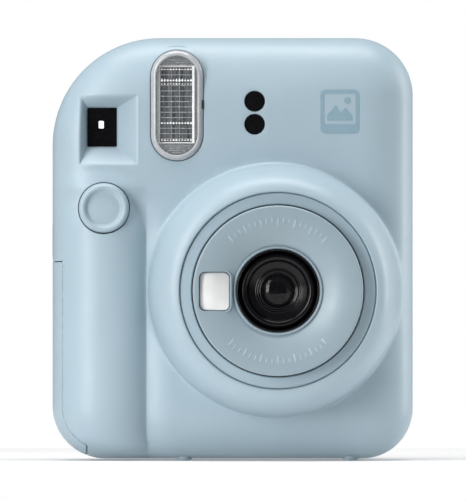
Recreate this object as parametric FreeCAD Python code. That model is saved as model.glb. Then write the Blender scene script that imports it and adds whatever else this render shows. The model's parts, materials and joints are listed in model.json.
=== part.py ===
import FreeCAD, Part
import math
import os
from FreeCAD import Vector

os.makedirs("parts", exist_ok=True)

# ---------------------------------------------------------------- driving dimensions, mm
# Origin: middle of the footprint, on the table. +Z up, the lens looks along -Y.
WIDTH = 104.0
HEIGHT = 122.0
FRONT_Y = -14.5        # flat front of the body
BACK_Y = 35.0          # back of the body and of the film door
BODY_FLOOR = 0.6       # underside of the body, above the feet
CORNERS = (31.0, 16.6, 14.5, 15.2)   # outline radii: top left, top right, bottom right, bottom left
FRONT_EDGE = 12.0      # rounding of the front edge
BACK_EDGE = 8.0        # rounding of the back edge
WALL = 2.0
SPLIT_Y = 8.0          # joint between the front and rear covers
GAP = 0.3              # gap around panels that come off

LENS_X = 13.0
LENS_Z = 49.1
LIP_Y = -31.6          # front of the dome
DOME_R = 36.3          # dome at its foot
MOUTH_R = 28.6         # mouth of the dome
RING_R = 28.2
RING_Y = -30.9
BARREL_R = 24.4
BARREL_Y = -35.0       # front of the barrel, drawn out to its ON position
LENS_HOLE_R = 12.0
RING_OFF = 24.0        # ring turn from ON back to OFF, degrees
RING_NEAR = 16.0       # ring turn from ON to close-up, degrees
BARREL_RISE = 0.15     # barrel travel per degree of ring turn

GRIP_R = 15.2          # the grip is an upright half round with a ball end at the top
GRIP_X = -36.8
GRIP_Y = -3.2
GRIP_TOP = 76.0        # middle of the ball end

BUTTON = (-37.1, 72.85)
BUTTON_R = 7.25
BUTTON_TRAVEL = 1.6

FLASH = (-23.6, -8.5, 86.5, 118.4)   # x, x, z, z
SENSORS = ((6.35, 103.65), (6.35, 97.05))
FINDER_MOUTH = (-44.1, -27.3, 85.1, 105.4)
FINDER_PANE = (-41.9, -33.4, 90.6, 101.8)
EYEPIECE = (-37.6, 96.2)

HINGE_X = -26.5        # film door hinge
HINGE_Y = 33.0
DOOR = (-26.5, 46.5, 8.6, 106.4)

CHAMBER = (-18.7, 44.7, 9.5, 105.5)  # film chamber, x, x, z, z
GATE = (-10.0, 36.0, 18.1, 80.1)     # picture gate
CELL_R = 7.25
CELL_X = -38.0
CELLS_Y = (-4.5, 11.0)
CELL_FOOT = 11.2
CELL_TOP = 60.7

ROLLER_R = 3.9
ROLLER_Z = 112.6
ROLLERS_Y = (9.9, 18.1)
ROLLER_GEAR = (10, 0.82)   # teeth, module
DRIVE_GEAR = (20, 0.6)
PINION = (14, 0.6)
MOTOR_R = 5.0
MOTOR_Y = 2.0
MOTOR_Z = 106.15


# ---------------------------------------------------------------- helpers
def save(name, shape):
    shape.exportStep("parts/" + name + ".step")


def box(x0, x1, y0, y1, z0, z1):
    return Part.makeBox(x1 - x0, y1 - y0, z1 - z0, Vector(x0, y0, z0))


def cyl_x(y, z, r, x0, x1):
    return Part.makeCylinder(r, x1 - x0, Vector(x0, y, z), Vector(1, 0, 0))


def cyl_y(x, z, r, y0, y1):
    return Part.makeCylinder(r, y1 - y0, Vector(x, y0, z), Vector(0, 1, 0))


def cyl_z(x, y, r, z0, z1):
    return Part.makeCylinder(r, z1 - z0, Vector(x, y, z0), Vector(0, 0, 1))


def tube_y(x, z, outer, inner, y0, y1):
    return cyl_y(x, z, outer, y0, y1).cut(cyl_y(x, z, inner, y0 - 1, y1 + 1))


def rounded(x0, x1, z0, z1, r, y0, y1):
    """Plate in the XZ plane with rounded corners."""
    body = box(x0, x1, y0, y1, z0, z1)
    posts = [e for e in body.Edges if abs(e.BoundBox.YLength - (y1 - y0)) < 1e-6]
    return body.makeFillet(r, posts)


def spin(profile, x=LENS_X, z=LENS_Z):
    """Solid of revolution about the line through (x, z) along Y. Points are (radius, y);
    a point with a third value True is the middle of an arc."""
    edges = []
    at = lambda p: Vector(x + p[0], p[1], z)
    points = profile + [profile[0]]
    i = 0
    while i < len(points) - 1:
        if len(points[i + 1]) == 3:
            edges.append(Part.Arc(at(points[i]), at(points[i + 1]), at(points[i + 2])).toShape())
            i += 2
        else:
            edges.append(Part.LineSegment(at(points[i]), at(points[i + 1])).toShape())
            i += 1
    face = Part.Face(Part.Wire(edges))
    return face.revolve(Vector(x, 0, z), Vector(0, 1, 0), 360)


def turn_y(shape, degrees, x=LENS_X, z=LENS_Z):
    """Copy of the shape turned about an axis along Y; positive is counter-clockwise from the front."""
    out = shape.copy()
    out.rotate(Vector(x, 0, z), Vector(0, -1, 0), degrees)
    return out


def outline(inset, y):
    """Outline of the body as seen from the front."""
    x0 = -WIDTH / 2 + inset
    x1 = WIDTH / 2 - inset
    z0 = BODY_FLOOR + inset
    z1 = HEIGHT - inset
    spec = [(x0, z1, 1, -1), (x1, z1, -1, -1), (x1, z0, -1, 1), (x0, z0, 1, 1)]
    edges = []
    ends = []
    for i, (cx, cz, sx, sz) in enumerate(spec):
        r = CORNERS[i] - inset
        mx = cx + sx * r
        mz = cz + sz * r
        side = Vector(cx, y, mz)
        level = Vector(mx, y, cz)
        k = r * math.sqrt(0.5)
        middle = Vector(mx - sx * k, y, mz - sz * k)
        first, last = (side, level) if i % 2 == 0 else (level, side)
        edges.append(Part.Arc(first, middle, last).toShape())
        ends.append((first, last))
    for i in range(4):
        edges.append(Part.LineSegment(ends[i][1], ends[(i + 1) % 4][0]).toShape())
    return Part.Wire(Part.__sortEdges__(edges))


def slab(inset, front, back, front_r, back_r):
    """Body outline as a block with rounded front and back edges."""
    y0 = front + inset
    y1 = back - inset
    body = Part.Face(outline(inset, y0)).extrude(Vector(0, y1 - y0, 0))
    for y, r in ((y0, front_r), (y1, back_r)):
        if r > inset:
            rim = [e for e in body.Edges if abs(e.BoundBox.YMin - y) < 1e-6 and abs(e.BoundBox.YMax - y) < 1e-6]
            body = body.makeFillet(r - inset, rim)
    return body


def grip(inset):
    """Finger grip: an upright bulge on the left with a ball end, trimmed to the body outline."""
    r = GRIP_R - inset
    post = cyl_z(GRIP_X, GRIP_Y, r, -5, GRIP_TOP)
    ball = Part.makeSphere(r, Vector(GRIP_X, GRIP_Y, GRIP_TOP))
    return post.fuse(ball).common(slab(inset, GRIP_Y - GRIP_R, BACK_Y, FRONT_EDGE, 0))


def coil(radius, wire, start, end, axis, turns):
    """Coil spring from start to end."""
    length = (Vector(*end) - Vector(*start)).Length
    helix = Part.makeHelix(length / turns, length, radius)
    ring = Part.Wire(Part.Circle(Vector(radius, 0, 0), Vector(0, 1, 0), wire).toShape())
    body = Part.Wire(helix).makePipeShell([ring], True, True)
    body.rotate(Vector(0, 0, 0), Vector(0, 0, 1).cross(Vector(*axis)) if axis != (0, 0, 1) else Vector(0, 0, 1),
                90 if axis != (0, 0, 1) else 0)
    body.translate(Vector(*start))
    return body


def gear_x(teeth, module, x0, x1, y, z, phase, bore):
    """Spur gear on an axis along X. Phase is the angle of one tooth's middle, degrees from +Y to +Z."""
    pitch = teeth * module / 2
    points = []
    for i in range(teeth):
        middle = math.radians(phase + i * 360 / teeth)
        for radius, half in ((pitch - 1.15 * module, 0.29), (pitch, 0.21), (pitch + 0.85 * module, 0.10)):
            points.append((radius, middle - half * 2 * math.pi / teeth))
        for radius, half in ((pitch + 0.85 * module, 0.10), (pitch, 0.21), (pitch - 1.15 * module, 0.29)):
            points.append((radius, middle + half * 2 * math.pi / teeth))
    loop = [Vector(x0, y + r * math.cos(a), z + r * math.sin(a)) for r, a in points]
    body = Part.Face(Part.makePolygon(loop + [loop[0]])).extrude(Vector(x1 - x0, 0, 0))
    if bore:
        body = body.cut(cyl_x(y, z, bore, x0 - 1, x1 + 1))
    return body


def frustum(front, front_y, back, back_y):
    """Straight-sided funnel between two upright rectangles."""
    wires = []
    for (x0, x1, z0, z1), y in ((front, front_y), (back, back_y)):
        loop = [Vector(x0, y, z0), Vector(x1, y, z0), Vector(x1, y, z1), Vector(x0, y, z1), Vector(x0, y, z0)]
        wires.append(Part.makePolygon(loop))
    return Part.makeLoft(wires, True, True)


def grown(rect, by):
    return (rect[0] - by, rect[1] + by, rect[2] - by, rect[3] + by)


# ---------------------------------------------------------------- body shell
def dome_outer():
    return spin([(0, -8), (DOME_R, -8), (DOME_R, FRONT_Y), (DOME_R - 0.7, -24.4), (34.0, -28.6, True),
                 (MOUTH_R + 1.2, LIP_Y), (0, LIP_Y)])


def dome_inner():
    r = DOME_R - WALL
    return spin([(0, -8), (r, -8), (r, FRONT_Y), (r - 0.7, -24.0), (32.4, -27.4, True), (30.6, -28.8),
                 (30.6, -22.0), (26.8, -22.0), (26.8, -28.5), (MOUTH_R, -28.5), (MOUTH_R, LIP_Y - 1),
                 (0, LIP_Y - 1)])


outer = slab(0, FRONT_Y, BACK_Y, FRONT_EDGE, BACK_EDGE).fuse(grip(0)).fuse(dome_outer())
inner = slab(WALL, FRONT_Y, BACK_Y, FRONT_EDGE, BACK_EDGE).fuse(grip(WALL)).fuse(dome_inner())
room = slab(WALL + GAP, FRONT_Y, BACK_Y, FRONT_EDGE, BACK_EDGE)
shell = outer.cut(inner)

# Battery cover: the left side of the shell, round the corner and under the grip.
COVER_TOP = 57.3
COVER_END = -42.2
COVER_FRONT = -13.8
COVER_BACK = 16.0
cover_zone = box(-60, COVER_END, COVER_FRONT, COVER_BACK, -2, COVER_TOP)
cover_gap = box(-60, COVER_END + GAP, COVER_FRONT - GAP, COVER_BACK + GAP, -2, COVER_TOP + GAP)
battery_cover = shell.common(cover_zone)
# finger dent and its ridges
for i in range(4):
    battery_cover = battery_cover.fuse(box(-52.0, -51.2, -1.0, 7.0, 44.0 + 2.4 * i, 45.0 + 2.4 * i).common(outer))
save("battery_cover", battery_cover)

front = shell.common(box(-60, 60, -60, SPLIT_Y, -10, 130)).cut(cover_gap)
rear = shell.common(box(-60, 60, SPLIT_Y, 60, -10, 130)).cut(cover_gap)

# ---------------------------------------------------------------- front cover
POSTS = ((-17.0, 12.0), (44.0, 12.0), (43.5, 84.0), (-4.0, 90.0))
POST_R = 2.3
PLATE_Y = 10.0         # front of the chassis plate
for x, z in POSTS:
    post = cyl_y(x, z, POST_R, FRONT_Y + WALL, PLATE_Y).common(outer)
    front = front.fuse(post.cut(cyl_y(x, z, 0.8, 1.0, PLATE_Y + 1)))
# cup and guide of the shutter button
bx, bz = BUTTON
CUP_FLOOR = -13.2
front = front.fuse(cyl_y(bx, bz, 8.45, -15.4, CUP_FLOOR + 1.2))
front = front.cut(cyl_y(bx, bz, BUTTON_R + 0.35, -25, CUP_FLOOR))
front = front.cut(cyl_y(bx, bz, 2.7, -25, 0))
# posts of the switch board
for x in (-42.6, -31.8):
    front = front.fuse(cyl_y(x, 78.4, 1.5, CUP_FLOOR + 0.6, -3.9))
# viewfinder funnel
mouth = frustum(grown(FINDER_MOUTH, 0.8), FRONT_Y - 0.6, FINDER_PANE, -9.0)
skin = frustum(grown(FINDER_MOUTH, 2.4), FRONT_Y - 0.6, grown(FINDER_PANE, 1.4), -9.0)
front = front.fuse(skin.common(outer)).cut(mouth)
# flash, sensors and feet
fx0, fx1, fz0, fz1 = FLASH
front = front.cut(rounded(fx0 - 0.1, fx1 + 0.1, fz0 - 0.1, fz1 + 0.1, 7.6, -20, -5))
for x, z in SENSORS:
    front = front.cut(cyl_y(x, z, 2.9, -20, -5))
FEET = ((-14.0, -4.5), (34.0, -4.5), (-14.0, 23.0), (34.0, 23.0))
FOOT_R = 2.25
for x, y in FEET:
    front = front.cut(cyl_z(x, y, FOOT_R, -1, 1.8))
# strap lug pocket
LUG = (-4.0, 5.0, 59.0, 68.0)          # y, y, z, z
lug_block = box(-60, -48.6, LUG[0], LUG[1], LUG[2], LUG[3])
front = front.cut(lug_block)
save("front_cover", front)

lug = lug_block.common(outer)
for y in (LUG[0] + 1.2, LUG[0] + 5.3):
    lug = lug.cut(box(-60, -49.6, y, y + 2.5, LUG[2] + 1.2, LUG[3] - 1.2))
lug = lug.cut(box(-51.0, -49.6, LUG[0] + 1.2, LUG[1] - 1.2, LUG[2] + 1.2, LUG[3] - 1.2))
save("strap_lug", lug)

feet = []
for x, y in FEET:
    foot = cyl_z(x, y, FOOT_R, 0, 1.8)
    feet.append(foot.makeFillet(0.9, [e for e in foot.Edges if e.BoundBox.ZMax < 0.01]))
feet = Part.makeCompound(feet)
save("feet", feet)

# ---------------------------------------------------------------- film door and rear cover
GROOVE_R = 3.2
door_zone = rounded(DOOR[0], DOOR[1], DOOR[2], DOOR[3], 4.0, 28, 60)
door_gap = rounded(DOOR[0] - 0.4, DOOR[1] + 0.4, DOOR[2] - 0.4, DOOR[3] + 0.4, 4.4, 28, 60)
groove = cyl_z(HINGE_X, HINGE_Y, GROOVE_R, DOOR[2] - 0.4, DOOR[3] + 0.4)
sleeve = cyl_z(HINGE_X, HINGE_Y, GROOVE_R + 1.5, DOOR[2] - 1.9, DOOR[3] + 1.9).common(inner)
rear = rear.fuse(sleeve).cut(groove).cut(door_gap)
EARS = ((30.0, 36.0), (79.0, 85.0))
PIN_R = 0.75
for z0, z1 in EARS:
    ear = cyl_z(HINGE_X, HINGE_Y, 1.95, z0, z1)
    ear = ear.fuse(box(HINGE_X - 3.5, HINGE_X, HINGE_Y - 1.95, HINGE_Y + 1.0, z0, z1))
    rear = rear.fuse(ear).cut(cyl_z(HINGE_X, HINGE_Y, PIN_R, z0 - 1, z1 + 1))
# film exit, eyepiece, counter and foot seats
EXIT = (-17.0, 43.0, 11.0, 17.0)       # x, x, y, y
rear = rear.cut(box(EXIT[0] - 0.1, EXIT[1] + 0.1, EXIT[2] - 0.1, EXIT[3] + 0.1, 118.4, 125))
ex, ez = EYEPIECE
rear = rear.cut(rounded(ex - 6.6, ex + 6.6, ez - 7.6, ez + 7.6, 3.0, 32.6, 40))
DIAL = (-39.0, 64.5)
rear = rear.cut(rounded(DIAL[0] - 3.1, DIAL[0] + 3.1, 68.2, 73.0, 1.2, 30, 40))
rear = rear.fuse(cyl_y(DIAL[0], DIAL[1], 1.0, 28.6, 33.5))
for x, y in FEET:
    rear = rear.cut(cyl_z(x, y, FOOT_R, -1, 1.8))
save("rear_cover", rear)

door = shell.common(door_zone)
LATCH_X = 41.0
for z0, z1 in ((DOOR[2], EARS[0][0] - 0.3), (EARS[0][1] + 0.3, EARS[1][0] - 0.3), (EARS[1][1] + 0.3, DOOR[3])):
    door = door.fuse(cyl_z(HINGE_X, HINGE_Y, 2.0, z0, z1))
for z0, z1 in EARS:
    door = door.cut(box(HINGE_X - 3, HINGE_X + 2.4, HINGE_Y - 4, HINGE_Y + 4, z0 - 0.3, z1 + 0.3))
    door = door.cut(cyl_z(HINGE_X, HINGE_Y, PIN_R + 0.06, z0 - 8, z1 + 8))
door = door.cut(rounded(LATCH_X - 3.1, LATCH_X + 3.1, 55.4, 68.0, 1.5, 30, 40))
door = door.fuse(box(LATCH_X - 3.0, LATCH_X + 2.0, 31.7, 33.4, 47.4, 48.8))
WINDOW = (4.0, 22.0, 84.0, 93.0)
door = door.cut(rounded(*WINDOW, 2.0, 30, 40))
save("film_door", door)

window = rounded(WINDOW[0] + 0.1, WINDOW[1] - 0.1, WINDOW[2] + 0.1, WINDOW[3] - 0.1, 1.9, 33.4, 34.7)
save("film_window", window)

liner = rounded(-17.5, 43.5, 11.0, 104.0, 3.0, 31.6, 32.8)
liner = liner.cut(rounded(*WINDOW, 2.0, 30, 34))
liner = liner.cut(box(36.6, 50, 30, 34, 46.8, 70.0))
for i in range(6):
    z = 16.0 + i * 12.0
    liner = liner.fuse(box(-15.0, -4.0, 31.0, 31.6, z, z + 1.0))
save("door_liner", liner)

plate = rounded(0.0, 26.0, 20.0, 78.0, 3.0, 30.2, 31.2)
save("pressure_plate", plate)
leaves = Part.makeCompound([rounded(4.0, 22.0, z, z + 8.0, 1.0, 31.2, 31.6) for z in (28.0, 62.0)])
save("pressure_springs", leaves)

pins = Part.makeCompound([cyl_z(HINGE_X, HINGE_Y, PIN_R, z0 - 6, z1 + 6) for z0, z1 in EARS])
save("door_hinge_pins", pins)

LATCH_TRAVEL = 3.0
latch = rounded(LATCH_X - 2.8, LATCH_X + 2.8, 56.0, 64.4, 1.3, 32.8, 35.0)
latch = latch.fuse(rounded(LATCH_X - 3.8, LATCH_X + 3.6, 54.0, 66.0, 1.0, 31.7, 32.9))
latch = latch.fuse(box(LATCH_X + 3.0, 46.0, 31.7, 32.4, 58.0, 62.0))
for i in range(3):
    latch = latch.cut(box(LATCH_X - 2.0, LATCH_X + 2.0, 34.6, 36, 58.0 + 2.0 * i, 58.8 + 2.0 * i))
save("door_latch", latch)
save("latch_spring", coil(0.45, 0.13, (LATCH_X - 0.4, 32.3, 48.95), (LATCH_X - 0.4, 32.3, 53.85), (0, 0, 1), 7))

exit_trim = box(EXIT[0], EXIT[1], EXIT[2], EXIT[3], 118.5, 123).common(outer)
exit_trim = exit_trim.cut(box(-15.5, 41.5, 12.4, 15.6, 110, 130))
save("film_exit_trim", exit_trim)

bezel = rounded(ex - 6.5, ex + 6.5, ez - 7.5, ez + 7.5, 2.9, 32.6, 35.5).common(outer)
bezel = bezel.cut(rounded(ex - 4.2, ex + 4.2, ez - 5.4, ez + 5.4, 2.0, 30, 40))
save("eyepiece_bezel", bezel)
save("eyepiece_lens", rounded(ex - 4.5, ex + 4.5, ez - 5.7, ez + 5.7, 1.5, 30.4, 32.5))

save("counter_window", rounded(DIAL[0] - 3.0, DIAL[0] + 3.0, 68.3, 72.9, 1.1, 33.2, 34.6))
dial = cyl_y(DIAL[0], DIAL[1], 7.4, 30.4, 31.4).fuse(cyl_y(DIAL[0], DIAL[1], 2.2, 29.4, 30.4))
dial = dial.cut(cyl_y(DIAL[0], DIAL[1], 1.06, 28, 34))
for i in range(10):
    notch = cyl_y(DIAL[0], DIAL[1] + 7.4, 0.5, 30, 32)
    dial = dial.cut(turn_y(notch, 36 * i, DIAL[0], DIAL[1]))
save("counter_dial", dial)

# ---------------------------------------------------------------- shutter button
button = spin([(0, -17.6), (4.0, -17.7), (4.9, -18.2), (6.1, -18.7, True), (BUTTON_R, -17.4), (BUTTON_R, -15.6),
               (2.4, -15.6), (2.4, -9.5), (0, -9.5)], bx, bz)
save("shutter_button", button)
clip = tube_y(bx, bz, 4.0, 2.4, -11.9, -11.1).cut(box(bx - 1.2, bx + 1.2, -13, -10, bz - 5, bz))
save("button_clip", clip)
save("button_spring", coil(4.0, 0.22, (bx, -15.35, bz), (bx, -13.45, bz), (0, 1, 0), 2))
switch = box(bx - 3, bx + 3, -7.7, -3.9, bz - 3, bz + 3)
save("switch_board", rounded(-45.6, -29.4, 66.4, 80.4, 2.0, -3.9, -2.7).common(room).fuse(switch))

# ---------------------------------------------------------------- flash
FLASH_Y = -15.6
lens = rounded(fx0, fx1, fz0, fz1, 7.5, FLASH_Y, -5.6)
lens = lens.makeFillet(1.2, [e for e in lens.Edges if abs(e.BoundBox.YMax - FLASH_Y) < 1e-6])
lens = lens.cut(rounded(fx0 + 1.2, fx1 - 1.2, fz0 + 1.2, fz1 - 1.2, 6.3, FLASH_Y + 1.2, -5))
save("flash_lens", lens)
mid_x = (fx0 + fx1) / 2
REFLECTOR = (mid_x - 5.3, mid_x + 5.3, 91.2, 113.7)
pan = frustum(REFLECTOR, -12.3, grown(REFLECTOR, -1.8), -5.6)
hollow = frustum(grown(REFLECTOR, -0.5), -12.4, grown(REFLECTOR, -2.3), -6.2)
save("flash_tube", cyl_z(mid_x, -8.0, 1.2, REFLECTOR[2] + 2.6, REFLECTOR[3] - 2.6))
surround = rounded(fx0 + 1.3, fx1 - 1.3, fz0 + 1.3, fz1 - 1.3, 6.2, -13.4, -12.2)
surround = surround.cut(box(REFLECTOR[0] + 0.5, REFLECTOR[1] - 0.5, -20, 0, REFLECTOR[2] + 0.5, REFLECTOR[3] - 0.5))
save("flash_reflector", pan.cut(hollow).fuse(surround))

# ---------------------------------------------------------------- sensors, board, electrics
save("sensor_windows", Part.makeCompound([cyl_y(x, z, 2.8, FRONT_Y - 0.1, FRONT_Y + 1.6) for x, z in SENSORS]))
BOARD_Y = -3.0
board = rounded(2.0, 44.0, 92.6, 116.0, 1.5, BOARD_Y, BOARD_Y + 1.4).common(room)
for x, z in SENSORS:
    board = board.fuse(box(x - 1.3, x + 1.3, BOARD_Y - 1.4, BOARD_Y, z - 1.3, z + 1.3))
board = board.fuse(box(24, 32, BOARD_Y - 1.1, BOARD_Y, 101, 109))
board = board.fuse(box(6, 13.5, BOARD_Y + 1.4, BOARD_Y + 9.0, 94, 102))
save("main_board", board)
save("flash_capacitor", cyl_x(4.2, 99.0, 4.9, 16.0, 41.0))

# ---------------------------------------------------------------- battery bay
bay = box(-46.6, -29.3, -13.4, 19.9, 8.0, 64.3).cut(box(-50, -30.5, -12.2, 18.7, 9.2, 63.4))
bay = bay.fuse(box(-46.6, -30.5, 2.9, 3.6, 9.2, 63.4)).common(room)
save("battery_bay", bay)
cells = []
for i, y in enumerate(CELLS_Y):
    cell = cyl_z(CELL_X, y, CELL_R, CELL_FOOT, CELL_TOP)
    nub = cyl_z(CELL_X, y, 2.7, CELL_TOP, CELL_TOP + 1.0)
    if i == 1:
        nub = cyl_z(CELL_X, y, 2.7, CELL_FOOT - 1.0, CELL_FOOT)
    cells.append(cell.fuse(nub))
save("battery_cells", Part.makeCompound(cells))
plates = []
for y, foot, head in ((CELLS_Y[0], 9.2, 61.7), (CELLS_Y[1], 9.2, 60.7)):
    low = box(CELL_X - 5, CELL_X + 5, y - 5, y + 5, 9.2, 9.6)
    high = box(CELL_X - 5, CELL_X + 5, y - 5, y + 5, 63.0, 63.4)
    if y == CELLS_Y[0]:
        high = high.fuse(cyl_z(CELL_X, y, 2.5, 61.7, 63.0))
    else:
        low = low.fuse(cyl_z(CELL_X, y, 2.5, 9.6, 10.2))
    plates += [low, high]
save("battery_contacts", Part.makeCompound(plates))
springs = [coil(3.4, 0.3, (CELL_X, CELLS_Y[0], 9.95), (CELL_X, CELLS_Y[0], 10.85), (0, 0, 1), 1),
           coil(3.4, 0.3, (CELL_X, CELLS_Y[1], 61.05), (CELL_X, CELLS_Y[1], 62.65), (0, 0, 1), 2)]
save("contact_springs", Part.makeCompound(springs))


def lead(points, r):
    path = Part.makePolygon([Vector(*p) for p in points])
    start = Vector(*points[0])
    way = Vector(*points[1]) - start
    ring = Part.Wire(Part.Circle(start, way, r).toShape())
    return path.makePipeShell([ring], True, False, 2)


leads = []
for i in (0, 1):
    s = 2.2 * i
    leads.append(lead([(-37.0 + s, 10.0 - s, 64.3), (-37.0 + s, 10.0 - s, 84.6 - s), (-26.0, 6.0 - s, 84.6 - s),
                       (2.6 + s, 6.0 - s, 84.6 - s), (5.0 + s, -2.3, 88.6), (5.0 + s, -2.3, 92.6)], 0.6))
save("battery_leads", Part.makeCompound(leads))

# ---------------------------------------------------------------- chassis with the film chamber, light box
c0, c1, c2, c3 = CHAMBER
chassis = box(c0 - 1.8, c1 + 1.8, PLATE_Y, PLATE_Y + 2.0, c2 - 1.5, c3 + 1.5)
for x0 in (c0 - 1.8, c1):
    chassis = chassis.fuse(box(x0, x0 + 1.8, PLATE_Y, 30.0, c2 - 1.5, c3 + 1.5))
chassis = chassis.fuse(box(c0, c1, PLATE_Y, 30.0, c2 - 1.5, c2))
chassis = chassis.fuse(box(c0, c1, 17.4, 30.0, c3, c3 + 1.5))
BOX_FRONT = (LENS_X - 15.0, LENS_X + 15.0, LENS_Z - 15.0, LENS_Z + 15.0)
tunnel = frustum(BOX_FRONT, -6.4, grown(GATE, 1.5), PLATE_Y)
bore = frustum(grown(BOX_FRONT, -1.5), -6.4, GATE, PLATE_Y)
light_box = tunnel.fuse(cyl_y(LENS_X, LENS_Z, 24.6, -8.0, -6.4))
save("light_box", light_box.cut(bore).cut(cyl_y(LENS_X, LENS_Z, 14.0, -9, -6)))
chassis = chassis.fuse(box(-17.5, -6.0, 4.0, PLATE_Y, 101.5, c3 + 1.0))
chassis = chassis.cut(box(GATE[0], GATE[1], PLATE_Y - 1, PLATE_Y + 3, GATE[2], GATE[3]))
chassis = chassis.cut(cyl_x(MOTOR_Y, MOTOR_Z, MOTOR_R, -30, 0))
for x, z in POSTS:
    chassis = chassis.cut(cyl_y(x, z, 1.1, PLATE_Y - 1, PLATE_Y + 3))
    chassis = chassis.cut(cyl_y(x, z, 1.9, PLATE_Y + 0.8, PLATE_Y + 3))
chassis = chassis.common(room)
save("chassis", chassis)

screws = []
for x, z in POSTS:
    screw = cyl_y(x, z, 0.75, 3.0, PLATE_Y + 0.9).fuse(cyl_y(x, z, 1.8, PLATE_Y + 0.8, PLATE_Y + 2.0))
    slot = box(x - 1.2, x + 1.2, PLATE_Y + 1.5, PLATE_Y + 3, z - 0.25, z + 0.25)
    cross = box(x - 0.25, x + 0.25, PLATE_Y + 1.5, PLATE_Y + 3, z - 1.2, z + 1.2)
    screws.append(screw.cut(slot).cut(cross))
save("chassis_screws", Part.makeCompound(screws))

# ---------------------------------------------------------------- film drive
ends = []
for x0 in (-18.2, 42.7):
    ends.append(box(x0, x0 + 1.5, 7.8, 23.5, 107.3, 118.3))
frame = ends[0].fuse(ends[1]).fuse(box(-18.2, 44.2, 22.3, 23.5, 107.3, 118.3))
frame = frame.fuse(box(-18.2, 44.2, 7.8, 11.5, 117.2, 118.3))
for y in ROLLERS_Y:
    frame = frame.cut(cyl_x(y, ROLLER_Z, 1.56, -30, 60))
save("roller_frame", frame.common(room))

TOOTH = 360 / ROLLER_GEAR[0]
drive_angle = math.degrees(math.atan2(MOTOR_Z - ROLLER_Z, MOTOR_Y - ROLLERS_Y[0]))
drive = cyl_x(ROLLERS_Y[0], ROLLER_Z, 1.5, -25.6, 44.2).fuse(cyl_x(ROLLERS_Y[0], ROLLER_Z, ROLLER_R, -16.0, 42.0))
idler = cyl_x(ROLLERS_Y[1], ROLLER_Z, 1.5, -21.2, 44.2).fuse(cyl_x(ROLLERS_Y[1], ROLLER_Z, ROLLER_R, -16.0, 42.0))
save("drive_roller", drive)
save("idler_roller", idler)
save("drive_roller_gear", gear_x(*ROLLER_GEAR, -21.0, -19.0, ROLLERS_Y[0], ROLLER_Z, 0.0, 1.5))
save("idler_roller_gear", gear_x(*ROLLER_GEAR, -21.0, -19.0, ROLLERS_Y[1], ROLLER_Z, 180.0 + TOOTH / 2, 1.5))
save("reduction_gear", gear_x(*DRIVE_GEAR, -25.2, -22.8, ROLLERS_Y[0], ROLLER_Z, drive_angle, 1.5))
pinion = gear_x(*PINION, -25.4, -22.6, MOTOR_Y, MOTOR_Z, drive_angle + 180.0 + 180.0 / PINION[0], 0)
save("motor_pinion", pinion.fuse(cyl_x(MOTOR_Y, MOTOR_Z, 0.8, -25.8, -19.9)))
motor = cyl_x(MOTOR_Y, MOTOR_Z, MOTOR_R, -21.9, -2.4).cut(cyl_x(MOTOR_Y, MOTOR_Z, 0.86, -23, -19.6))
save("film_motor", motor)

# ---------------------------------------------------------------- lens ring, barrel and guide
ANGLES = (90, 210, 330)
ring = spin([(24.8, RING_Y + 0.3), (25.1, RING_Y), (RING_R - 0.3, RING_Y), (RING_R, RING_Y + 0.3), (RING_R, -28.9),
             (26.4, -28.9), (26.4, -12.0), (24.8, -12.0)])
# cam slots: each pin runs along its slot as the ring turns
FOLLOWER_Y = -20.0
FOLLOWER_R = 1.2
SLOT_HALF = 1.7
wall_r = 25.45


def cam_slot(angle):
    """Sloping slot through the ring wall, drawn at the top and turned to its angle."""
    swing = math.radians((RING_OFF + RING_NEAR) / 2)
    centre_turn = (RING_OFF - RING_NEAR) / 2
    half_x = wall_r * math.sin(swing)
    y_off = FOLLOWER_Y + BARREL_RISE * RING_OFF
    y_near = FOLLOWER_Y - BARREL_RISE * RING_NEAR
    # the OFF end lies on the side the ring has turned away from
    ends_xy = [(-half_x, y_off), (half_x, y_near)]
    run = math.hypot(2 * half_x, y_near - y_off)
    lean = math.degrees(math.atan2(y_near - y_off, 2 * half_x))
    body = Part.makeBox(run, 2 * SLOT_HALF, 20, Vector(0, -SLOT_HALF, 0))
    body.rotate(Vector(0, 0, 0), Vector(0, 0, 1), lean)
    body.translate(Vector(ends_xy[0][0], ends_xy[0][1], 0))
    for x, y in ends_xy:
        body = body.fuse(Part.makeCylinder(SLOT_HALF, 20, Vector(x, y, 0), Vector(0, 0, 1)))
    body.translate(Vector(LENS_X, 0, LENS_Z + 20))
    return turn_y(body, angle - 90 + centre_turn)


for a in ANGLES:
    ring = ring.cut(cam_slot(a))
save("lens_ring", ring)
ring_clip = tube_y(LENS_X, LENS_Z, 28.2, 26.4, -21.7, -20.9).cut(box(LENS_X - 6, LENS_X + 6, -23, -20, LENS_Z - 40, LENS_Z))
save("ring_clip", ring_clip)

barrel = spin([(BARREL_R, -16.5), (BARREL_R, BARREL_Y + 0.4), (BARREL_R - 0.4, BARREL_Y), (23.6, BARREL_Y),
               (18.5, -33.6, True), (12.9, -32.9), (12.7, -33.3), (LENS_HOLE_R, -33.3), (LENS_HOLE_R, -22.0),
               (13.2, -22.0), (13.2, -31.4), (22.8, -31.4), (22.8, -16.5)])
for a in ANGLES:
    pin = Part.makeCylinder(FOLLOWER_R, 2.5, Vector(LENS_X, FOLLOWER_Y, LENS_Z + 23.5), Vector(0, 0, 1))
    barrel = barrel.fuse(turn_y(pin, a - 90))
    key = box(LENS_X - 1.6, LENS_X + 1.6, -30.0, -17.0, LENS_Z + 21.1, LENS_Z + 23.2)
    barrel = barrel.fuse(turn_y(key, a - 150))
MIRROR = (-9.5, -0.9, 43.4, 54.4)
seat = rounded(MIRROR[0] - 0.9, MIRROR[1] + 0.9, MIRROR[2] - 0.9, MIRROR[3] + 0.9, 2.2, -33.7, -31.4)
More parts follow.
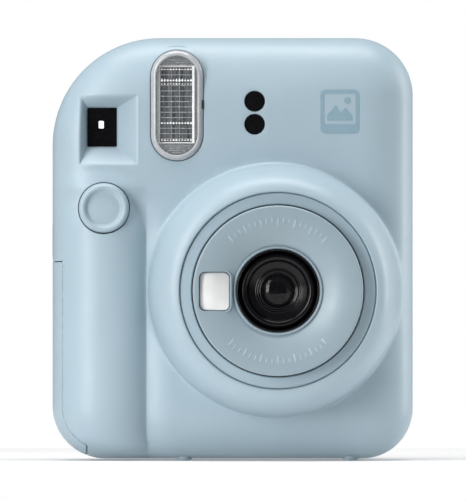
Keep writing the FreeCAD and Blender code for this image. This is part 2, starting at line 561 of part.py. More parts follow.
barrel = barrel.fuse(seat.common(cyl_y(LENS_X, LENS_Z, 23.6, -40, -30)))
barrel = barrel.cut(rounded(MIRROR[0] - 0.15, MIRROR[1] + 0.15, MIRROR[2] - 0.15, MIRROR[3] + 0.15, 1.8, -40, -32.7))
save("lens_barrel", barrel)
save("selfie_mirror", rounded(*MIRROR, 1.7, -33.8, -32.7))

guide = tube_y(LENS_X, LENS_Z, 22.4, 20.6, -26.6, -8.0).fuse(tube_y(LENS_X, LENS_Z, 24.6, 20.6, -9.5, -8.0))
for a in ANGLES:
    way = box(LENS_X - 2.0, LENS_X + 2.0, -28.0, -11.0, LENS_Z + 18, LENS_Z + 23)
    guide = guide.cut(turn_y(way, a - 150))
save("lens_guide", guide)

hood = spin([(11.9, -33.2), (11.4, -33.2), (10.4, -29.6), (8.9, -29.2), (8.7, -28.0), (8.7, -27.0), (11.9, -27.0)])
save("lens_hood", hood)
save("front_element", spin([(0, -28.3), (4.6, -27.9, True), (8.6, -26.9), (9.6, -26.9), (9.6, -25.4), (0, -25.4)]))
cell = spin([(11.9, -26.9), (9.7, -26.9), (9.7, -25.3), (7.2, -25.3), (7.2, -24.6), (9.7, -24.6), (9.7, -17.0),
             (6.6, -17.0), (6.6, -14.0), (11.9, -14.0)])
save("lens_cell", cell)
APERTURE_R = 2.9
PIVOT = (LENS_X, LENS_Z + 7.6)
aperture = tube_y(LENS_X, LENS_Z, 9.6, APERTURE_R, -24.6, -24.1)
aperture = aperture.fuse(cyl_y(PIVOT[0], PIVOT[1], 0.5, -24.1, -22.2))
save("aperture_plate", aperture)


def blade(side, y0):
    """Half of the shutter: a lobe over one side of the aperture, hung from the pivot."""
    body = cyl_y(LENS_X, LENS_Z, 4.0, y0, y0 + 0.35)
    keep = box(LENS_X - 5, LENS_X + 0.5, y0 - 1, y0 + 1, LENS_Z - 5, LENS_Z + 5)
    arm = box(LENS_X - 2.0, LENS_X + 0.5, y0, y0 + 0.35, LENS_Z + 2.5, PIVOT[1])
    if side > 0:
        keep = box(LENS_X - 0.5, LENS_X + 5, y0 - 1, y0 + 1, LENS_Z - 5, LENS_Z + 5)
        arm = box(LENS_X - 0.5, LENS_X + 2.0, y0, y0 + 0.35, LENS_Z + 2.5, PIVOT[1])
    eye = cyl_y(PIVOT[0], PIVOT[1], 1.3, y0, y0 + 0.35)
    return body.common(keep).fuse(arm).fuse(eye).cut(cyl_y(PIVOT[0], PIVOT[1], 0.56, y0 - 1, y0 + 1))


save("shutter_blade_left", blade(-1, -23.75))
save("shutter_blade_right", blade(1, -23.1))
save("shutter_coil", cyl_z(LENS_X - 6.3, -19.3, 1.9, LENS_Z - 4.5, LENS_Z + 4.5))
save("rear_element", spin([(0, -16.9), (3.4, -16.75, True), (6.5, -16.2), (6.5, -14.6), (0, -14.6)]))

# ---------------------------------------------------------------- viewfinder
px0, px1, pz0, pz1 = FINDER_PANE
save("finder_window", rounded(px0 - 0.7, px1 + 0.7, pz0 - 0.7, pz1 + 0.7, 0.6, -8.95, -7.9))
tunnel_rect = (px0 - 1.5, px1 + 1.5, pz0 - 1.5, pz1 + 1.5)
finder = box(tunnel_rect[0], tunnel_rect[1], -7.85, 30.2, tunnel_rect[2], tunnel_rect[3])
finder = finder.cut(box(px0 - 0.3, px1 + 0.3, -10, 31, pz0 - 0.3, pz1 + 0.3))
finder = finder.cut(box(-39.9, -35.4, 3.6, 5.4, 85, pz0))
save("finder_tube", finder)
mask = box(px0 + 0.5, px1 - 0.5, 4.0, 5.0, pz0, pz1).cut(box(px0 + 1.4, px1 - 1.4, 3, 6, pz0 + 1.0, pz1 - 1.0))
mask = mask.fuse(box(-38.7, -36.6, 4.0, 5.0, 87.4, pz0 + 0.5))
save("finder_mask", mask)
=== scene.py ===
import json
import math

import bmesh
import bpy
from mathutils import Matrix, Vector
from mathutils.geometry import delaunay_2d_cdt


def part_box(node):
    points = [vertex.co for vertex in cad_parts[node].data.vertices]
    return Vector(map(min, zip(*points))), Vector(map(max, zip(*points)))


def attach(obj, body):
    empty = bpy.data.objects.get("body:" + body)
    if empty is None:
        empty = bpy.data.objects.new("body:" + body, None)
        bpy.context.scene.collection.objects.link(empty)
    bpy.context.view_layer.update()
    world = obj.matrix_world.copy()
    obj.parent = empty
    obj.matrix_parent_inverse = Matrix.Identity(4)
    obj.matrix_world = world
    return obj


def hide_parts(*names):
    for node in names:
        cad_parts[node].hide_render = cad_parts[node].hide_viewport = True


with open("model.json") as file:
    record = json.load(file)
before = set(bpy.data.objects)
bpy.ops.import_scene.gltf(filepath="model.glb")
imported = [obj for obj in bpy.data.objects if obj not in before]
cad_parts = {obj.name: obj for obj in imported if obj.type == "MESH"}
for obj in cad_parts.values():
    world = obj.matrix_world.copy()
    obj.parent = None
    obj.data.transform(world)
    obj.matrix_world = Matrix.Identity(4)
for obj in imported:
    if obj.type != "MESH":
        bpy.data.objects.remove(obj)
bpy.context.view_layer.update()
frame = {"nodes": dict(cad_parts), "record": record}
MM = 0.001


# ------------------------------------------------------------------ sizes in millimetres, from the frame
def span(node):
    low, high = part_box(node)
    return [(low[i] / MM, high[i] / MM) for i in range(3)]


def middle(node):
    return [(a + b) / 2 for a, b in span(node)]


(LEFT, RIGHT), (LIP, _), (FLOOR, TOP) = span("front_cover")
SPLIT = span("rear_cover")[1][0]
FRONT = span("sensor_windows")[1][0] + 0.1
EDGE = -2.5                       # depth at which the front rounding meets the straight sides
HOLE_GAP = 0.2                    # between the button and its hole
EYE_GAP = 0.1                     # between a sensor window and its hole
WALL = 1.5                        # thickness of the shell and the lid
# L is the lens, B the button, F the flash, S the sensor windows; X, Y and Z are places, R is a radius
ring_span = span("lens_ring")
LX = (ring_span[0][0] + ring_span[0][1]) / 2
LZ = (ring_span[2][0] + ring_span[2][1]) / 2
RING = (ring_span[0][1] - ring_span[0][0]) / 2
MOUTH = RING + 0.1                # radius of the dome's mouth
BX, _, BZ = middle("shutter_button")
BR = (span("shutter_button")[0][1] - span("shutter_button")[0][0]) / 2
FX, FY, FZ = span("flash_lens")
pane = span("finder_window")
# rectangles are x0, x1, z0, z1: the hole at the funnel's bottom, and the funnel's outer edge
PANE = (pane[0][0] + 0.7, pane[0][1] - 0.7, pane[2][0] + 0.7, pane[2][1] - 0.7)
PANE_Y = pane[1][0] - 0.05
PANE_R = 0.25
FUNNEL = (PANE[0] - 2.2, PANE[1] + 6.1, PANE[2] - 5.4, PANE[3] + 3.7)
sx, _, sz = span("sensor_windows")
SR = (sx[1] - sx[0]) / 2
SENSORS = (((sx[0] + sx[1]) / 2, sz[0] + SR), ((sx[0] + sx[1]) / 2, sz[1] - SR))
DOME = (LX - 0.9, LZ + 0.1, 36.4)  # centre and radius of the dome's foot
CORNERS = {(-1, 1): 31.0, (1, 1): 16.6, (1, -1): 14.5, (-1, -1): 15.2}  # outline radii, by side in x and z
LID_TOP = span("battery_cover")[2][1]
LID_END = span("battery_cover")[0][1]
LID_BACK = span("battery_cover")[1][1]
LID_FRONT = -11.5
GAP = 0.3                         # seam around the lid
CREASE = LEFT + 27.2              # valley beside the grip
CREASE_TOP = 73.8
GRIP_CREST = 15.2                 # the grip's crest and its end, from the left side
GRIP_END = 30.4
GRIP_TOP = 92
GRIP_DEPTH = (15.9, 12.0)         # in front of EDGE, on the lower and on the upper part
GRIP_BLEND = 5.0                  # how softly the grip runs out into the front at its upper end
VALLEY_DEPTH = 2.0
VALLEY_RUN = 8.0                  # distance over which the valley rises again to the right
FUNNEL_SOFT = 0.08                # softens the funnel's outer edge
MOUTH_LIP, BUTTON_LIP, FLASH_LIP, EYE_LIP = 0.5, 0.2, 0.3, 0.3  # radii of the rounded hole edges


def smooth(t):
    t = min(1.0, max(0.0, t))
    return t * t * (3 - 2 * t)


def mix(a, b, t):
    return a + (b - a) * t


# ------------------------------------------------------------------ front of the body as a height field
WIDTH = {"left": 14.0, "right": 14.4, "bottom": 14.4}
POWER = 2.2                       # of the superellipse that the edge rounding follows


def top_width(x):
    """Width of the rounding along the top, wider at the left."""
    return mix(21.0, 16.4, smooth(x / 34.0))


def edge_share(x, z):
    """0 on the flat front, 1 on the outline."""
    for (a, b), r in CORNERS.items():
        cx = (LEFT + r) if a < 0 else (RIGHT - r)
        cz = (FLOOR + r) if b < 0 else (TOP - r)
        if (x - cx) * a > 0 and (z - cz) * b > 0:
            u, v = abs(x - cx), abs(z - cz)
            side = WIDTH["left"] if a < 0 else WIDTH["right"]
            level = WIDTH["bottom"] if b < 0 else top_width(cx)
            w = mix(side, level, smooth(math.atan2(v, u) / (math.pi / 2)))
            return min(1.0, max(0.0, 1 - (r - math.hypot(u, v)) / w))
    share = max(1 - (x - LEFT) / WIDTH["left"], 1 - (RIGHT - x) / WIDTH["right"],
                1 - (z - FLOOR) / WIDTH["bottom"], 1 - (TOP - z) / top_width(x))
    return min(1.0, max(0.0, share))


def crown(e):
    """1 on the flat front, falling to 0 on the outline."""
    return max(0.0, 1 - e ** POWER) ** (1 / POWER)


def left_edge(z):
    for b in (1, -1):
        r = CORNERS[(-1, b)]
        cz = (FLOOR + r) if b < 0 else (TOP - r)
        if (z - cz) * b > 0:
            return LEFT + r - math.sqrt(max(0.0, r * r - (z - cz) ** 2))
    return LEFT


def grip_height(x, z):
    """Half an ellipse across the grip, shallower towards the top."""
    low = max(0.0, 1 - (z - FLOOR) / WIDTH["bottom"])
    crest = LEFT + GRIP_CREST + 5.0 * low ** 3
    end = LEFT + GRIP_END
    edge = left_edge(z)
    u = (crest - x) / max(0.5, crest - edge) if x < crest else (x - crest) / (end - crest)
    if u >= 1:
        return EDGE
    depth = mix(*GRIP_DEPTH, smooth((z - 64.0) / 20.0))
    return EDGE - depth * math.sqrt(1 - u * u) * crown(low)


def body_height(x, z):
    """The front without the dome and the holes: flat, with the valley and the grip blended in."""
    e = edge_share(x, z)
    c = crown(e)
    main = EDGE - (EDGE - FRONT) * c
    if z < GRIP_TOP:
        # the valley fades out between heights 64 and 80, and the blend acts between 71 and 85
        run = (x - CREASE) / VALLEY_RUN
        dip = VALLEY_DEPTH * (1 - smooth((z - 64.0) / 16.0)) * c
        main += dip * (1.0 if run < 0 else max(0.0, 1 - run) ** 2)
        grip = grip_height(x, z)
        k = GRIP_BLEND * smooth((z - 71.0) / 9.0) * (1 - smooth((z - 78.0) / 7.0)) * (1 - e ** 3)
        h = max(0.0, 1 - abs(main - grip) / k) if k > 0.01 else 0.0
        main = min(main, grip) - h * h * k / 4
    return main


def dome_reach(x, z):
    """Distance from the lens axis, and the dome's radius at its foot in that direction."""
    dx, dz = x - LX, z - LZ
    r = math.hypot(dx, dz)
    ux, uz = (dx / r, dz / r) if r > 1e-9 else (1.0, 0.0)
    ox, oz = DOME[0] - LX, DOME[1] - LZ
    along = ux * ox + uz * oz
    return r, along + math.sqrt(DOME[2] ** 2 - (ox * ox + oz * oz) + along * along), ux, uz


FOOT = 0.9                        # width of the fillet where the dome meets the body


def round_box(x, z, x0, x1, z0, z1, r):
    """Signed distance to a rounded rectangle, negative inside."""
    u = abs(x - (x0 + x1) / 2) - (x1 - x0) / 2 + r
    v = abs(z - (z0 + z1) / 2) - (z1 - z0) / 2 + r
    return math.hypot(max(u, 0), max(v, 0)) + min(max(u, v), 0) - r


FLASH_HOLE = (FX[0] - 0.1, FX[1] + 0.1, FZ[0] - 0.1, FZ[1] + 0.1, 7.6)  # the last is the corner radius


def lip(d, r):
    """Depth of a rounded edge of radius r, at the distance d from a hole."""
    if d >= r:
        return 0.0
    q = 1 - max(0.0, d) / r
    return r * (1 - math.sqrt(max(0.0, 1 - q * q)))


def funnel_share(x, z):
    """0 on the funnel's outer edge, 1 on the pane's."""
    x0, x1, z0, z1 = FUNNEL
    p0, p1, q0, q1 = PANE
    return min((x - x0) / (p0 - x0), (x1 - x) / (x1 - p1), (z - z0) / (q0 - z0), (z1 - z) / (z1 - q1))


def front_height(x, z):
    """Depth of the whole front shell at a point, with all its features."""
    r, foot, ux, uz = dome_reach(x, z)
    if r < foot + FOOT:
        base = body_height(LX + ux * (foot + 0.01), LZ + uz * (foot + 0.01))
        if r <= foot:
            t = max(0.0, (r - MOUTH) / (foot - MOUTH))
            y = LIP + (base - FOOT - LIP) * (1 - math.sqrt(max(0.0, 1 - t * t)))
            return min(y, body_height(x, z)) + lip(r - MOUTH, MOUTH_LIP)
        q = (r - foot) / FOOT
        return body_height(x, z) - FOOT * (1 - math.sqrt(max(0.0, 1 - (1 - q) ** 2)))
    y = body_height(x, z)
    y += lip(math.hypot(x - BX, z - BZ) - BR - HOLE_GAP, BUTTON_LIP)
    y += lip(round_box(x, z, *FLASH_HOLE), FLASH_LIP)
    for a, b in SENSORS:
        y += lip(math.hypot(x - a, z - b) - SR - EYE_GAP, EYE_LIP)
    share = funnel_share(x, z)
    if share > 0:
        s = min(1.0, share * share / (share + FUNNEL_SOFT) * (1 + FUNNEL_SOFT))
        y = mix(y, PANE_Y, s)
    return y


# ------------------------------------------------------------------ mesh helpers
def circle(x, z, r, n):
    return [(x + r * math.cos(2 * math.pi * i / n), z + r * math.sin(2 * math.pi * i / n)) for i in range(n)]


def corner_arcs(x0, x1, z0, z1, r):
    """Centre and first angle of each corner of a rounded rectangle."""
    return (x1 - r, z0 + r, -90), (x1 - r, z1 - r, 0), (x0 + r, z1 - r, 90), (x0 + r, z0 + r, 180)


def rect_loop(x0, x1, z0, z1, r, step):
    """Rounded rectangle as an evenly stepped loop, counter-clockwise seen from the front."""
    out = []
    raw = []
    for cx, cz, a in corner_arcs(x0, x1, z0, z1, r):
        n = max(3, int(r * math.pi / 2 / step))
        for i in range(n + 1):
            t = math.radians(a + 90.0 * i / n)
            raw.append((cx + r * math.cos(t), cz + r * math.sin(t)))
    for p, q in zip(raw, raw[1:] + raw[:1]):
        n = max(1, int(math.dist(p, q) / step))
        for j in range(n):
            out.append((mix(p[0], q[0], j / n), mix(p[1], q[1], j / n)))
    return out


def outline_loop(step):
    """Body outline with, at each point, its outward normal and its rounding width."""
    raw = []
    for (a, b), first in (((1, -1), -90), ((1, 1), 0), ((-1, 1), 90), ((-1, -1), 180)):
        r = CORNERS[(a, b)]
        cx = (LEFT + r) if a < 0 else (RIGHT - r)
        cz = (FLOOR + r) if b < 0 else (TOP - r)
        n = int(r * math.pi / 2 / step)
        for i in range(n + 1):
            t = math.radians(first + 90.0 * i / n)
            raw.append((cx + r * math.cos(t), cz + r * math.sin(t), math.cos(t), math.sin(t)))
    out = []
    for p, q in zip(raw, raw[1:] + raw[:1]):
        n = max(1, round(math.dist(p[:2], q[:2]) / step))
        for j in range(n):
            s = j / n
            x, z, nx, nz = (mix(p[i], q[i], s) for i in range(4))
            low, high = 0.0, 30.0
            for _ in range(24):              # inward run at which the rounding ends
                w = (low + high) / 2
                if edge_share(x - nx * w, z - nz * w) > 0.0:
                    low = w
                else:
                    high = w
            out.append((x, z, nx, nz, w))
    return out


class Sheet:
    """Points and fixed edges in the XZ plane, meshed with triangles and lifted to a height."""

    def __init__(self):
        self.points = []
        self.edges = []

    def add(self, p):
        self.points.append(Vector((p[0], p[1])))
        return len(self.points) - 1

    def path(self, points, closed=True, keep=None):
        ids = [self.add(p) if keep is None or keep(*p) else None for p in points]
        pairs = list(zip(ids, ids[1:] + (ids[:1] if closed else [])))
        self.edges += [(a, b) for a, b in pairs if a is not None and b is not None]
        return ids

    def build(self, height, inside):
        """Meshes the points and keeps the triangles whose middles are inside."""
        co, _, tris, origin, _, _ = delaunay_2d_cdt(self.points, self.edges, [], 0, 1e-4)
        self.where = {k: i for i, source in enumerate(origin) for k in source}
        self.verts = [(p.x, height(p.x, p.y), p.y) for p in co]
        self.faces = []
        for f in tris:
            cx = sum(co[i].x for i in f) / len(f)
            cz = sum(co[i].y for i in f) / len(f)
            if inside(cx, cz):
                self.faces.append(tuple(f))

    def wall(self, ids, rows, outward):
        """Rows of quads from a loop back; each row gives a point for (x, z)."""
        ring = [self.where[i] for i in ids]
        base = [self.verts[i] for i in ring]
        for row in rows:
            start = len(self.verts)
            self.verts += [row(*p) for p in base]
            fresh = list(range(start, start + len(base)))
            n = len(ring)
            for i in range(n):
                j = (i + 1) % n
                quad = (ring[i], fresh[i], fresh[j], ring[j])
                self.faces.append(quad if outward else quad[::-1])
            ring = fresh


def tidy_mesh(verts, faces):
    """Drops the vertices that no face uses."""
    used = sorted({i for f in faces for i in f})
    index = {v: k for k, v in enumerate(used)}
    return [verts[i] for i in used], [tuple(index[i] for i in f) for f in faces]


def piece(name, verts, faces, body, slot, material, replaces=(), sharp=None):
    """Makes one visible object, from millimetres, on its body and with its material; the slot is not used."""
    verts, faces = tidy_mesh(verts, faces)
    data = bpy.data.meshes.new(name)
    data.from_pydata([(x * MM, y * MM, z * MM) for x, y, z in verts], [], faces)
    data.validate()
    data.shade_smooth()
    if sharp:
        data.set_sharp_from_angle(angle=math.radians(sharp))
    obj = bpy.data.objects.new(name, data)
    bpy.context.scene.collection.objects.link(obj)
    data.materials.append(material)
    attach(obj, body)
    if replaces:
        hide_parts(*replaces)
    return obj


def lathe(profile, n, x=LX, z=LZ):
    """Surface of revolution about a line along Y; the profile runs from the axis side round the outside,
    and only its first point may lie on the axis."""
    verts, faces = [], []
    rows = []
    for r, y in profile:
        if r < 1e-6:
            rows.append([len(verts)])
            verts.append((x, y, z))
        else:
            rows.append(list(range(len(verts), len(verts) + n)))
            verts += [(x + r * math.cos(2 * math.pi * i / n), y, z + r * math.sin(2 * math.pi * i / n))
                      for i in range(n)]
    for a, b in zip(rows, rows[1:]):
        for i in range(n):
            j = (i + 1) % n
            if len(a) == 1:
                faces.append((a[0], b[i], b[j]))
            else:
                faces.append((a[i], b[i], b[j], a[j]))
    return verts, faces


def arc(r, y, radius, a0, a1, n):
    """Points of an arc about (r, y); 0 degrees points outward, 90 towards the front."""
    return [(r + radius * math.cos(math.radians(mix(a0, a1, i / n))),
             y - radius * math.sin(math.radians(mix(a0, a1, i / n)))) for i in range(n + 1)]


def join(*parts):
    """Several meshes as one."""
    verts, faces = [], []
    for v, f in parts:
        k = len(verts)
        verts += v
        faces += [tuple(i + k for i in one) for one in f]
    return verts, faces


def bands(n, count):
    """The quads of count bands between rows of n points, row after row."""
    return [(k * n + i, (k + 1) * n + i, (k + 1) * n + (i + 1) % n, k * n + (i + 1) % n)
            for k in range(count) for i in range(n)]


def plate(loop, y0, y1, round_edge):
    """Flat plate from a counter-clockwise loop, front at y0, with a softened front edge."""
    n = len(loop)
    rows = []
    steps = 4
    normals = []
    for i in range(n):
        ax, az = loop[i - 1]
        bx, bz = loop[(i + 1) % n]
        d = math.hypot(bx - ax, bz - az) or 1
        normals.append(((bz - az) / d, -(bx - ax) / d))
    for k in range(steps + 1):
        t = math.radians(90.0 * k / steps)
        inset = round_edge * (1 - math.sin(t))
        y = y0 + round_edge * (1 - math.cos(t))
        rows.append([(p[0] - m[0] * inset, y, p[1] - m[1] * inset) for p, m in zip(loop, normals)])
    rows.append([(p[0], y1, p[1]) for p in loop])
    verts = [v for row in rows for v in row]
    last = len(rows) - 1
    back_cap = tuple(range(last * n, len(rows) * n))[::-1]
    return verts, [tuple(range(n))] + bands(n, last) + [back_cap]


def thicken(obj):
    m = obj.modifiers.new("wall", "SOLIDIFY")
    m.thickness = WALL * MM
    m.offset = -1
    m.use_rim = True
    return m


def thin_near(obj, wall, distance, reach, least):
    """Thins a wall towards an edge, so that its tilted inner side stays clear of the neighbour there."""
    group = obj.vertex_groups.new(name="wall")
    for v in obj.data.vertices:
        out = distance(v.co.x / MM, v.co.z / MM)
        group.add([v.index], mix(least, 1.0, smooth(out / reach)), "REPLACE")
    wall.vertex_group = group.name


# ------------------------------------------------------------------ materials
class Look:
    """A Principled material with object-space noise for colour, roughness and grain."""

    def __init__(self, name, colour, rough=0.5, metal=0.0, **sockets):
        self.mat = bpy.data.materials.new(name)
        self.mat.use_nodes = True
        self.tree = self.mat.node_tree
        self.shader = self.tree.nodes["Principled BSDF"]
        self.colour = colour
        self.shader.inputs["Base Color"].default_value = (*colour, 1)
        self.shader.inputs["Roughness"].default_value = rough
        self.shader.inputs["Metallic"].default_value = metal
        for key, value in sockets.items():
            self.shader.inputs[key.replace("_", " ")].default_value = value
        self.space = self.tree.nodes.new("ShaderNodeTexCoord").outputs["Object"]
        self.normal = None

    def node(self, kind):
        return self.tree.nodes.new(kind)

    def link(self, a, b):
        self.tree.links.new(a, b)

    def noise(self, size, detail, stretch=None):
        """Noise whose features are about size millimetres across."""
        source = self.space
        if stretch:
            m = self.node("ShaderNodeMapping")
            m.inputs["Scale"].default_value = stretch
            self.link(source, m.inputs["Vector"])
            source = m.outputs["Vector"]
        n = self.node("ShaderNodeTexNoise")
        n.inputs["Scale"].default_value = 1.0 / (size * MM)
        n.inputs["Detail"].default_value = detail
        self.link(source, n.inputs["Vector"])
        return n.outputs["Fac"]

    def spread(self, size, stretch):
        """Noise with its usual span, 0.3 to 0.7, spread over the whole range."""
        ramp = self.node("ShaderNodeMapRange")
        ramp.inputs["From Min"].default_value = 0.3
        ramp.inputs["From Max"].default_value = 0.7
        self.link(self.noise(size, 3.0, stretch), ramp.inputs["Value"])
        return ramp

    def tint(self, size, amount, stretch=None):
        """Varies the colour by a small share either way."""
        ramp = self.spread(size, stretch)
        m = self.node("ShaderNodeMix")
        m.data_type = "RGBA"          # its colours are inputs 6 and 7 and output 2
        m.inputs[6].default_value = (*[c * (1 - amount) for c in self.colour], 1)
        m.inputs[7].default_value = (*[min(1, c * (1 + amount)) for c in self.colour], 1)
        self.link(ramp.outputs["Result"], m.inputs[0])
        self.link(m.outputs[2], self.shader.inputs["Base Color"])
        return self

    def polish(self, size, low, high, stretch=None):
        """Roughness between two values."""
        ramp = self.spread(size, stretch)
        ramp.inputs["To Min"].default_value = low
        ramp.inputs["To Max"].default_value = high
        self.link(ramp.outputs["Result"], self.shader.inputs["Roughness"])
        return self

    def grain(self, size, depth, stretch=None):
        """Surface relief of the given depth in millimetres."""
        b = self.node("ShaderNodeBump")
        b.inputs["Strength"].default_value = 1.0
        b.inputs["Distance"].default_value = depth * MM
        self.link(self.noise(size, 2.0, stretch), b.inputs["Height"])
        if self.normal:
            self.link(self.normal, b.inputs["Normal"])
        self.normal = b.outputs["Normal"]
        self.link(self.normal, self.shader.inputs["Normal"])
        return self


BLUE = (0.335, 0.432, 0.490)
blue = Look("shell_blue", BLUE, 0.42, Coat_Weight=0.0)
blue.tint(9.0, 0.012).polish(2.5, 0.38, 0.46).grain(0.35, 0.006).grain(14.0, 0.02)
# the barrel's smoother plastic, with its own lower roughness; its colour is the shell blue darkened to 0.77
# as painted shade for the dished face
shaded_blue_smooth = Look("lens_blue_painted_shade", [c * 0.77 for c in BLUE], 0.36).tint(7.0, 0.012)
shaded_blue_smooth.polish(2.0, 0.33, 0.41).grain(0.25, 0.003)
print_blue = Look("print_blue", (0.225, 0.335, 0.400), 0.45).tint(2.0, 0.03).grain(0.3, 0.01)
tick_blue = Look("tick_blue", (0.34, 0.43, 0.48), 0.40).tint(2.0, 0.02).grain(0.3, 0.004)
black = Look("black_plastic", (0.012, 0.012, 0.013), 0.45).tint(3.0, 0.15)
black.polish(1.5, 0.38, 0.55).grain(0.3, 0.01)
hood_black = Look("hood_black", (0.003, 0.003, 0.004), 0.2, Specular_IOR_Level=0.25)
hood_black.tint(3.0, 0.15).polish(1.0, 0.15, 0.24).grain(0.2, 0.002)
white = Look("white_plastic", (0.72, 0.73, 0.73), 0.45).tint(3.0, 0.02).grain(0.4, 0.006)
grey = Look("grey_plastic", (0.31, 0.39, 0.44), 0.5).tint(4.0, 0.05).polish(2.0, 0.42, 0.58).grain(0.4, 0.01)
clear = Look("clear_plastic", (0.80, 0.84, 0.87), 0.08, Alpha=0.16).grain(3.0, 0.01)
clear.polish(2.0, 0.05, 0.12)
sensor = Look("sensor_plastic", (0.0025, 0.0025, 0.003), 0.3, Specular_IOR_Level=0.15).tint(2.0, 0.3)
sensor.polish(1.0, 0.25, 0.35).grain(2.0, 0.004)
glass = Look("optical_glass", (0.020, 0.022, 0.026), 0.04, Coat_Weight=1.0, Coat_Roughness=0.03)
glass.tint(3.0, 0.2).polish(2.0, 0.03, 0.06)
tube_glass = Look("tube_glass", (0.70, 0.72, 0.74), 0.10, Alpha=0.55).polish(1.0, 0.06, 0.14).grain(1.0, 0.01)
mirror = Look("mirror", (0.93, 0.93, 0.93), 0.45, 0.8).tint(3.0, 0.02).polish(2.0, 0.42, 0.48)
bright = Look("bright_metal", (0.78, 0.79, 0.80), 0.2, 1.0).tint(1.0, 0.03).polish(0.8, 0.14, 0.28)
bright.grain(0.6, 0.01)
steel = Look("steel", (0.50, 0.50, 0.51), 0.3, 1.0).tint(1.0, 0.05).polish(0.6, 0.22, 0.40, (1, 1, 8))
steel.grain(0.2, 0.003, (1, 1, 12))
board = Look("board", (0.03, 0.17, 0.07), 0.4).tint(0.9, 0.25).polish(0.6, 0.3, 0.5).grain(0.5, 0.02)
sleeve = Look("capacitor_sleeve", (0.02, 0.02, 0.025), 0.3).tint(2.0, 0.2).polish(1.0, 0.24, 0.36)
sleeve.grain(0.8, 0.01)
jacket = Look("cell_jacket", (0.09, 0.13, 0.19), 0.28).tint(6.0, 0.2, (1, 1, 0.05)).polish(3.0, 0.2, 0.34)
jacket.grain(3.0, 0.01)
lead_red = Look("lead_sleeve", (0.30, 0.02, 0.02), 0.45).tint(2.0, 0.1).grain(0.5, 0.01)
LOOKS = {"shell_blue": blue, "black_plastic": black, "clear_plastic": clear, "sensor_plastic": sensor,
         "white_plastic": white, "optical_glass": glass, "tube_glass": tube_glass, "mirror": mirror,
         "bright_metal": bright, "steel": steel, "grey_plastic": grey, "board": board,
         "capacitor_sleeve": sleeve, "cell_jacket": jacket, "lead_sleeve": lead_red}
# painted shade: a black glossy sheet on the clear finder window, standing for the darkness inside the finder
finder_shade_look = Look("finder_painted_shade", (0.002, 0.002, 0.003), 0.25, Specular_IOR_Level=0.2).tint(2.0, 0.3)
finder_shade_look.polish(1.0, 0.2, 0.3)
SLOTS = {part["node"]: part["material_slot"] for part in frame["record"]["subparts"]}
# each CAD part gets its slot's material, except the finder window, which gets the painted shade
for name, obj in frame["nodes"].items():
    obj.data.materials.clear()
    obj.data.materials.append(finder_shade_look.mat if name == "finder_window" else LOOKS[SLOTS[name]].mat)


# ------------------------------------------------------------------ front shell and battery lid
AROUND = 1.5                      # margin of the fine grid around the funnel
FUNNEL_STEP = 0.42
FINE_STEP, COARSE_STEP = 0.95, 2.4
FINE_X, FINE_Z = -16, 93          # the grip's side of the front, which is meshed finely
SPOKES = 200                      # around the dome
DOME_ROWS = 24
EDGE_ROWS = 18
OUTLINE_STEP = 1.3


def off_features(x, z, room):
    """True where a general point may go: clear of the dome, the holes, the funnel and the crease."""
    r, foot, _, _ = dome_reach(x, z)
    if r < foot + FOOT + room:
        return False
    if math.hypot(x - BX, z - BZ) < BR + 0.8 + room or round_box(x, z, *FLASH_HOLE) < 0.4 + room:
        return False
    if any(math.hypot(x - a, z - b) < SR + 0.5 + room for a, b in SENSORS):
        return False
    if (FUNNEL[0] - AROUND < x < FUNNEL[1] + AROUND
            and FUNNEL[2] - AROUND < z < FUNNEL[3] + AROUND):
        return False
    return not (abs(x - CREASE) < 0.25 + room * 0.5 and z < CREASE_TOP + 2)


def off_dome(x, z):
    r, foot, _, _ = dome_reach(x, z)
    return r > foot + FOOT + 0.2


def near_pane(x, z):
    return round_box(x, z, *PANE, PANE_R) < 0.3


sheet = Sheet()
edge = outline_loop(OUTLINE_STEP)
rim = sheet.path([(p[0], p[1]) for p in edge])
for k in range(1, EDGE_ROWS + 1):
    share = math.sin(math.radians(90 - 5 * k)) if k < EDGE_ROWS else 0.0
    sheet.path([(x - nx * w * (1 - share), z - nz * w * (1 - share)) for x, z, nx, nz, w in edge],
               keep=lambda x, z: off_features(x, z, 0.15))
spokes = [dome_reach(LX + math.cos(2 * math.pi * i / SPOKES), LZ + math.sin(2 * math.pi * i / SPOKES))
          for i in range(SPOKES)]
dome_rings = []
for k in range(DOME_ROWS):
    t = math.sin(math.radians(90.0 * k / (DOME_ROWS - 1)))
    ring = []
    for _, foot, ux, uz in spokes:
        r = MOUTH + t * (foot - MOUTH)
        ring.append((LX + ux * r, LZ + uz * r))
    dome_rings.append(sheet.path(ring))
mouth = dome_rings[0]
for add in (0.06, 0.16, 0.32, 0.52):
    sheet.path(circle(LX, LZ, MOUTH + add, SPOKES))
for add in (0.05, 0.2, 0.45, 0.9):
    sheet.path([(LX + ux * (foot + add), LZ + uz * (foot + add)) for _, foot, ux, uz in spokes])
button_hole = sheet.path(circle(BX, BZ, BR + HOLE_GAP, 96))
for add in (0.05, 0.12, 0.22, 0.5, 0.9):
    sheet.path(circle(BX, BZ, BR + HOLE_GAP + add, 96))
flash_hole = sheet.path(rect_loop(*FLASH_HOLE, 0.8))
for add in (0.08, 0.18, 0.32):
    x0, x1, z0, z1, r = FLASH_HOLE
    sheet.path(rect_loop(x0 - add, x1 + add, z0 - add, z1 + add, r + add, 0.8))
eyes = []
for a, b in SENSORS:
    eyes.append(sheet.path(circle(a, b, SR + EYE_GAP, 40)))
    for add in (0.08, 0.18, 0.32):
        sheet.path(circle(a, b, SR + EYE_GAP + add, 40))
sheet.path(rect_loop(*PANE, PANE_R, 0.5))
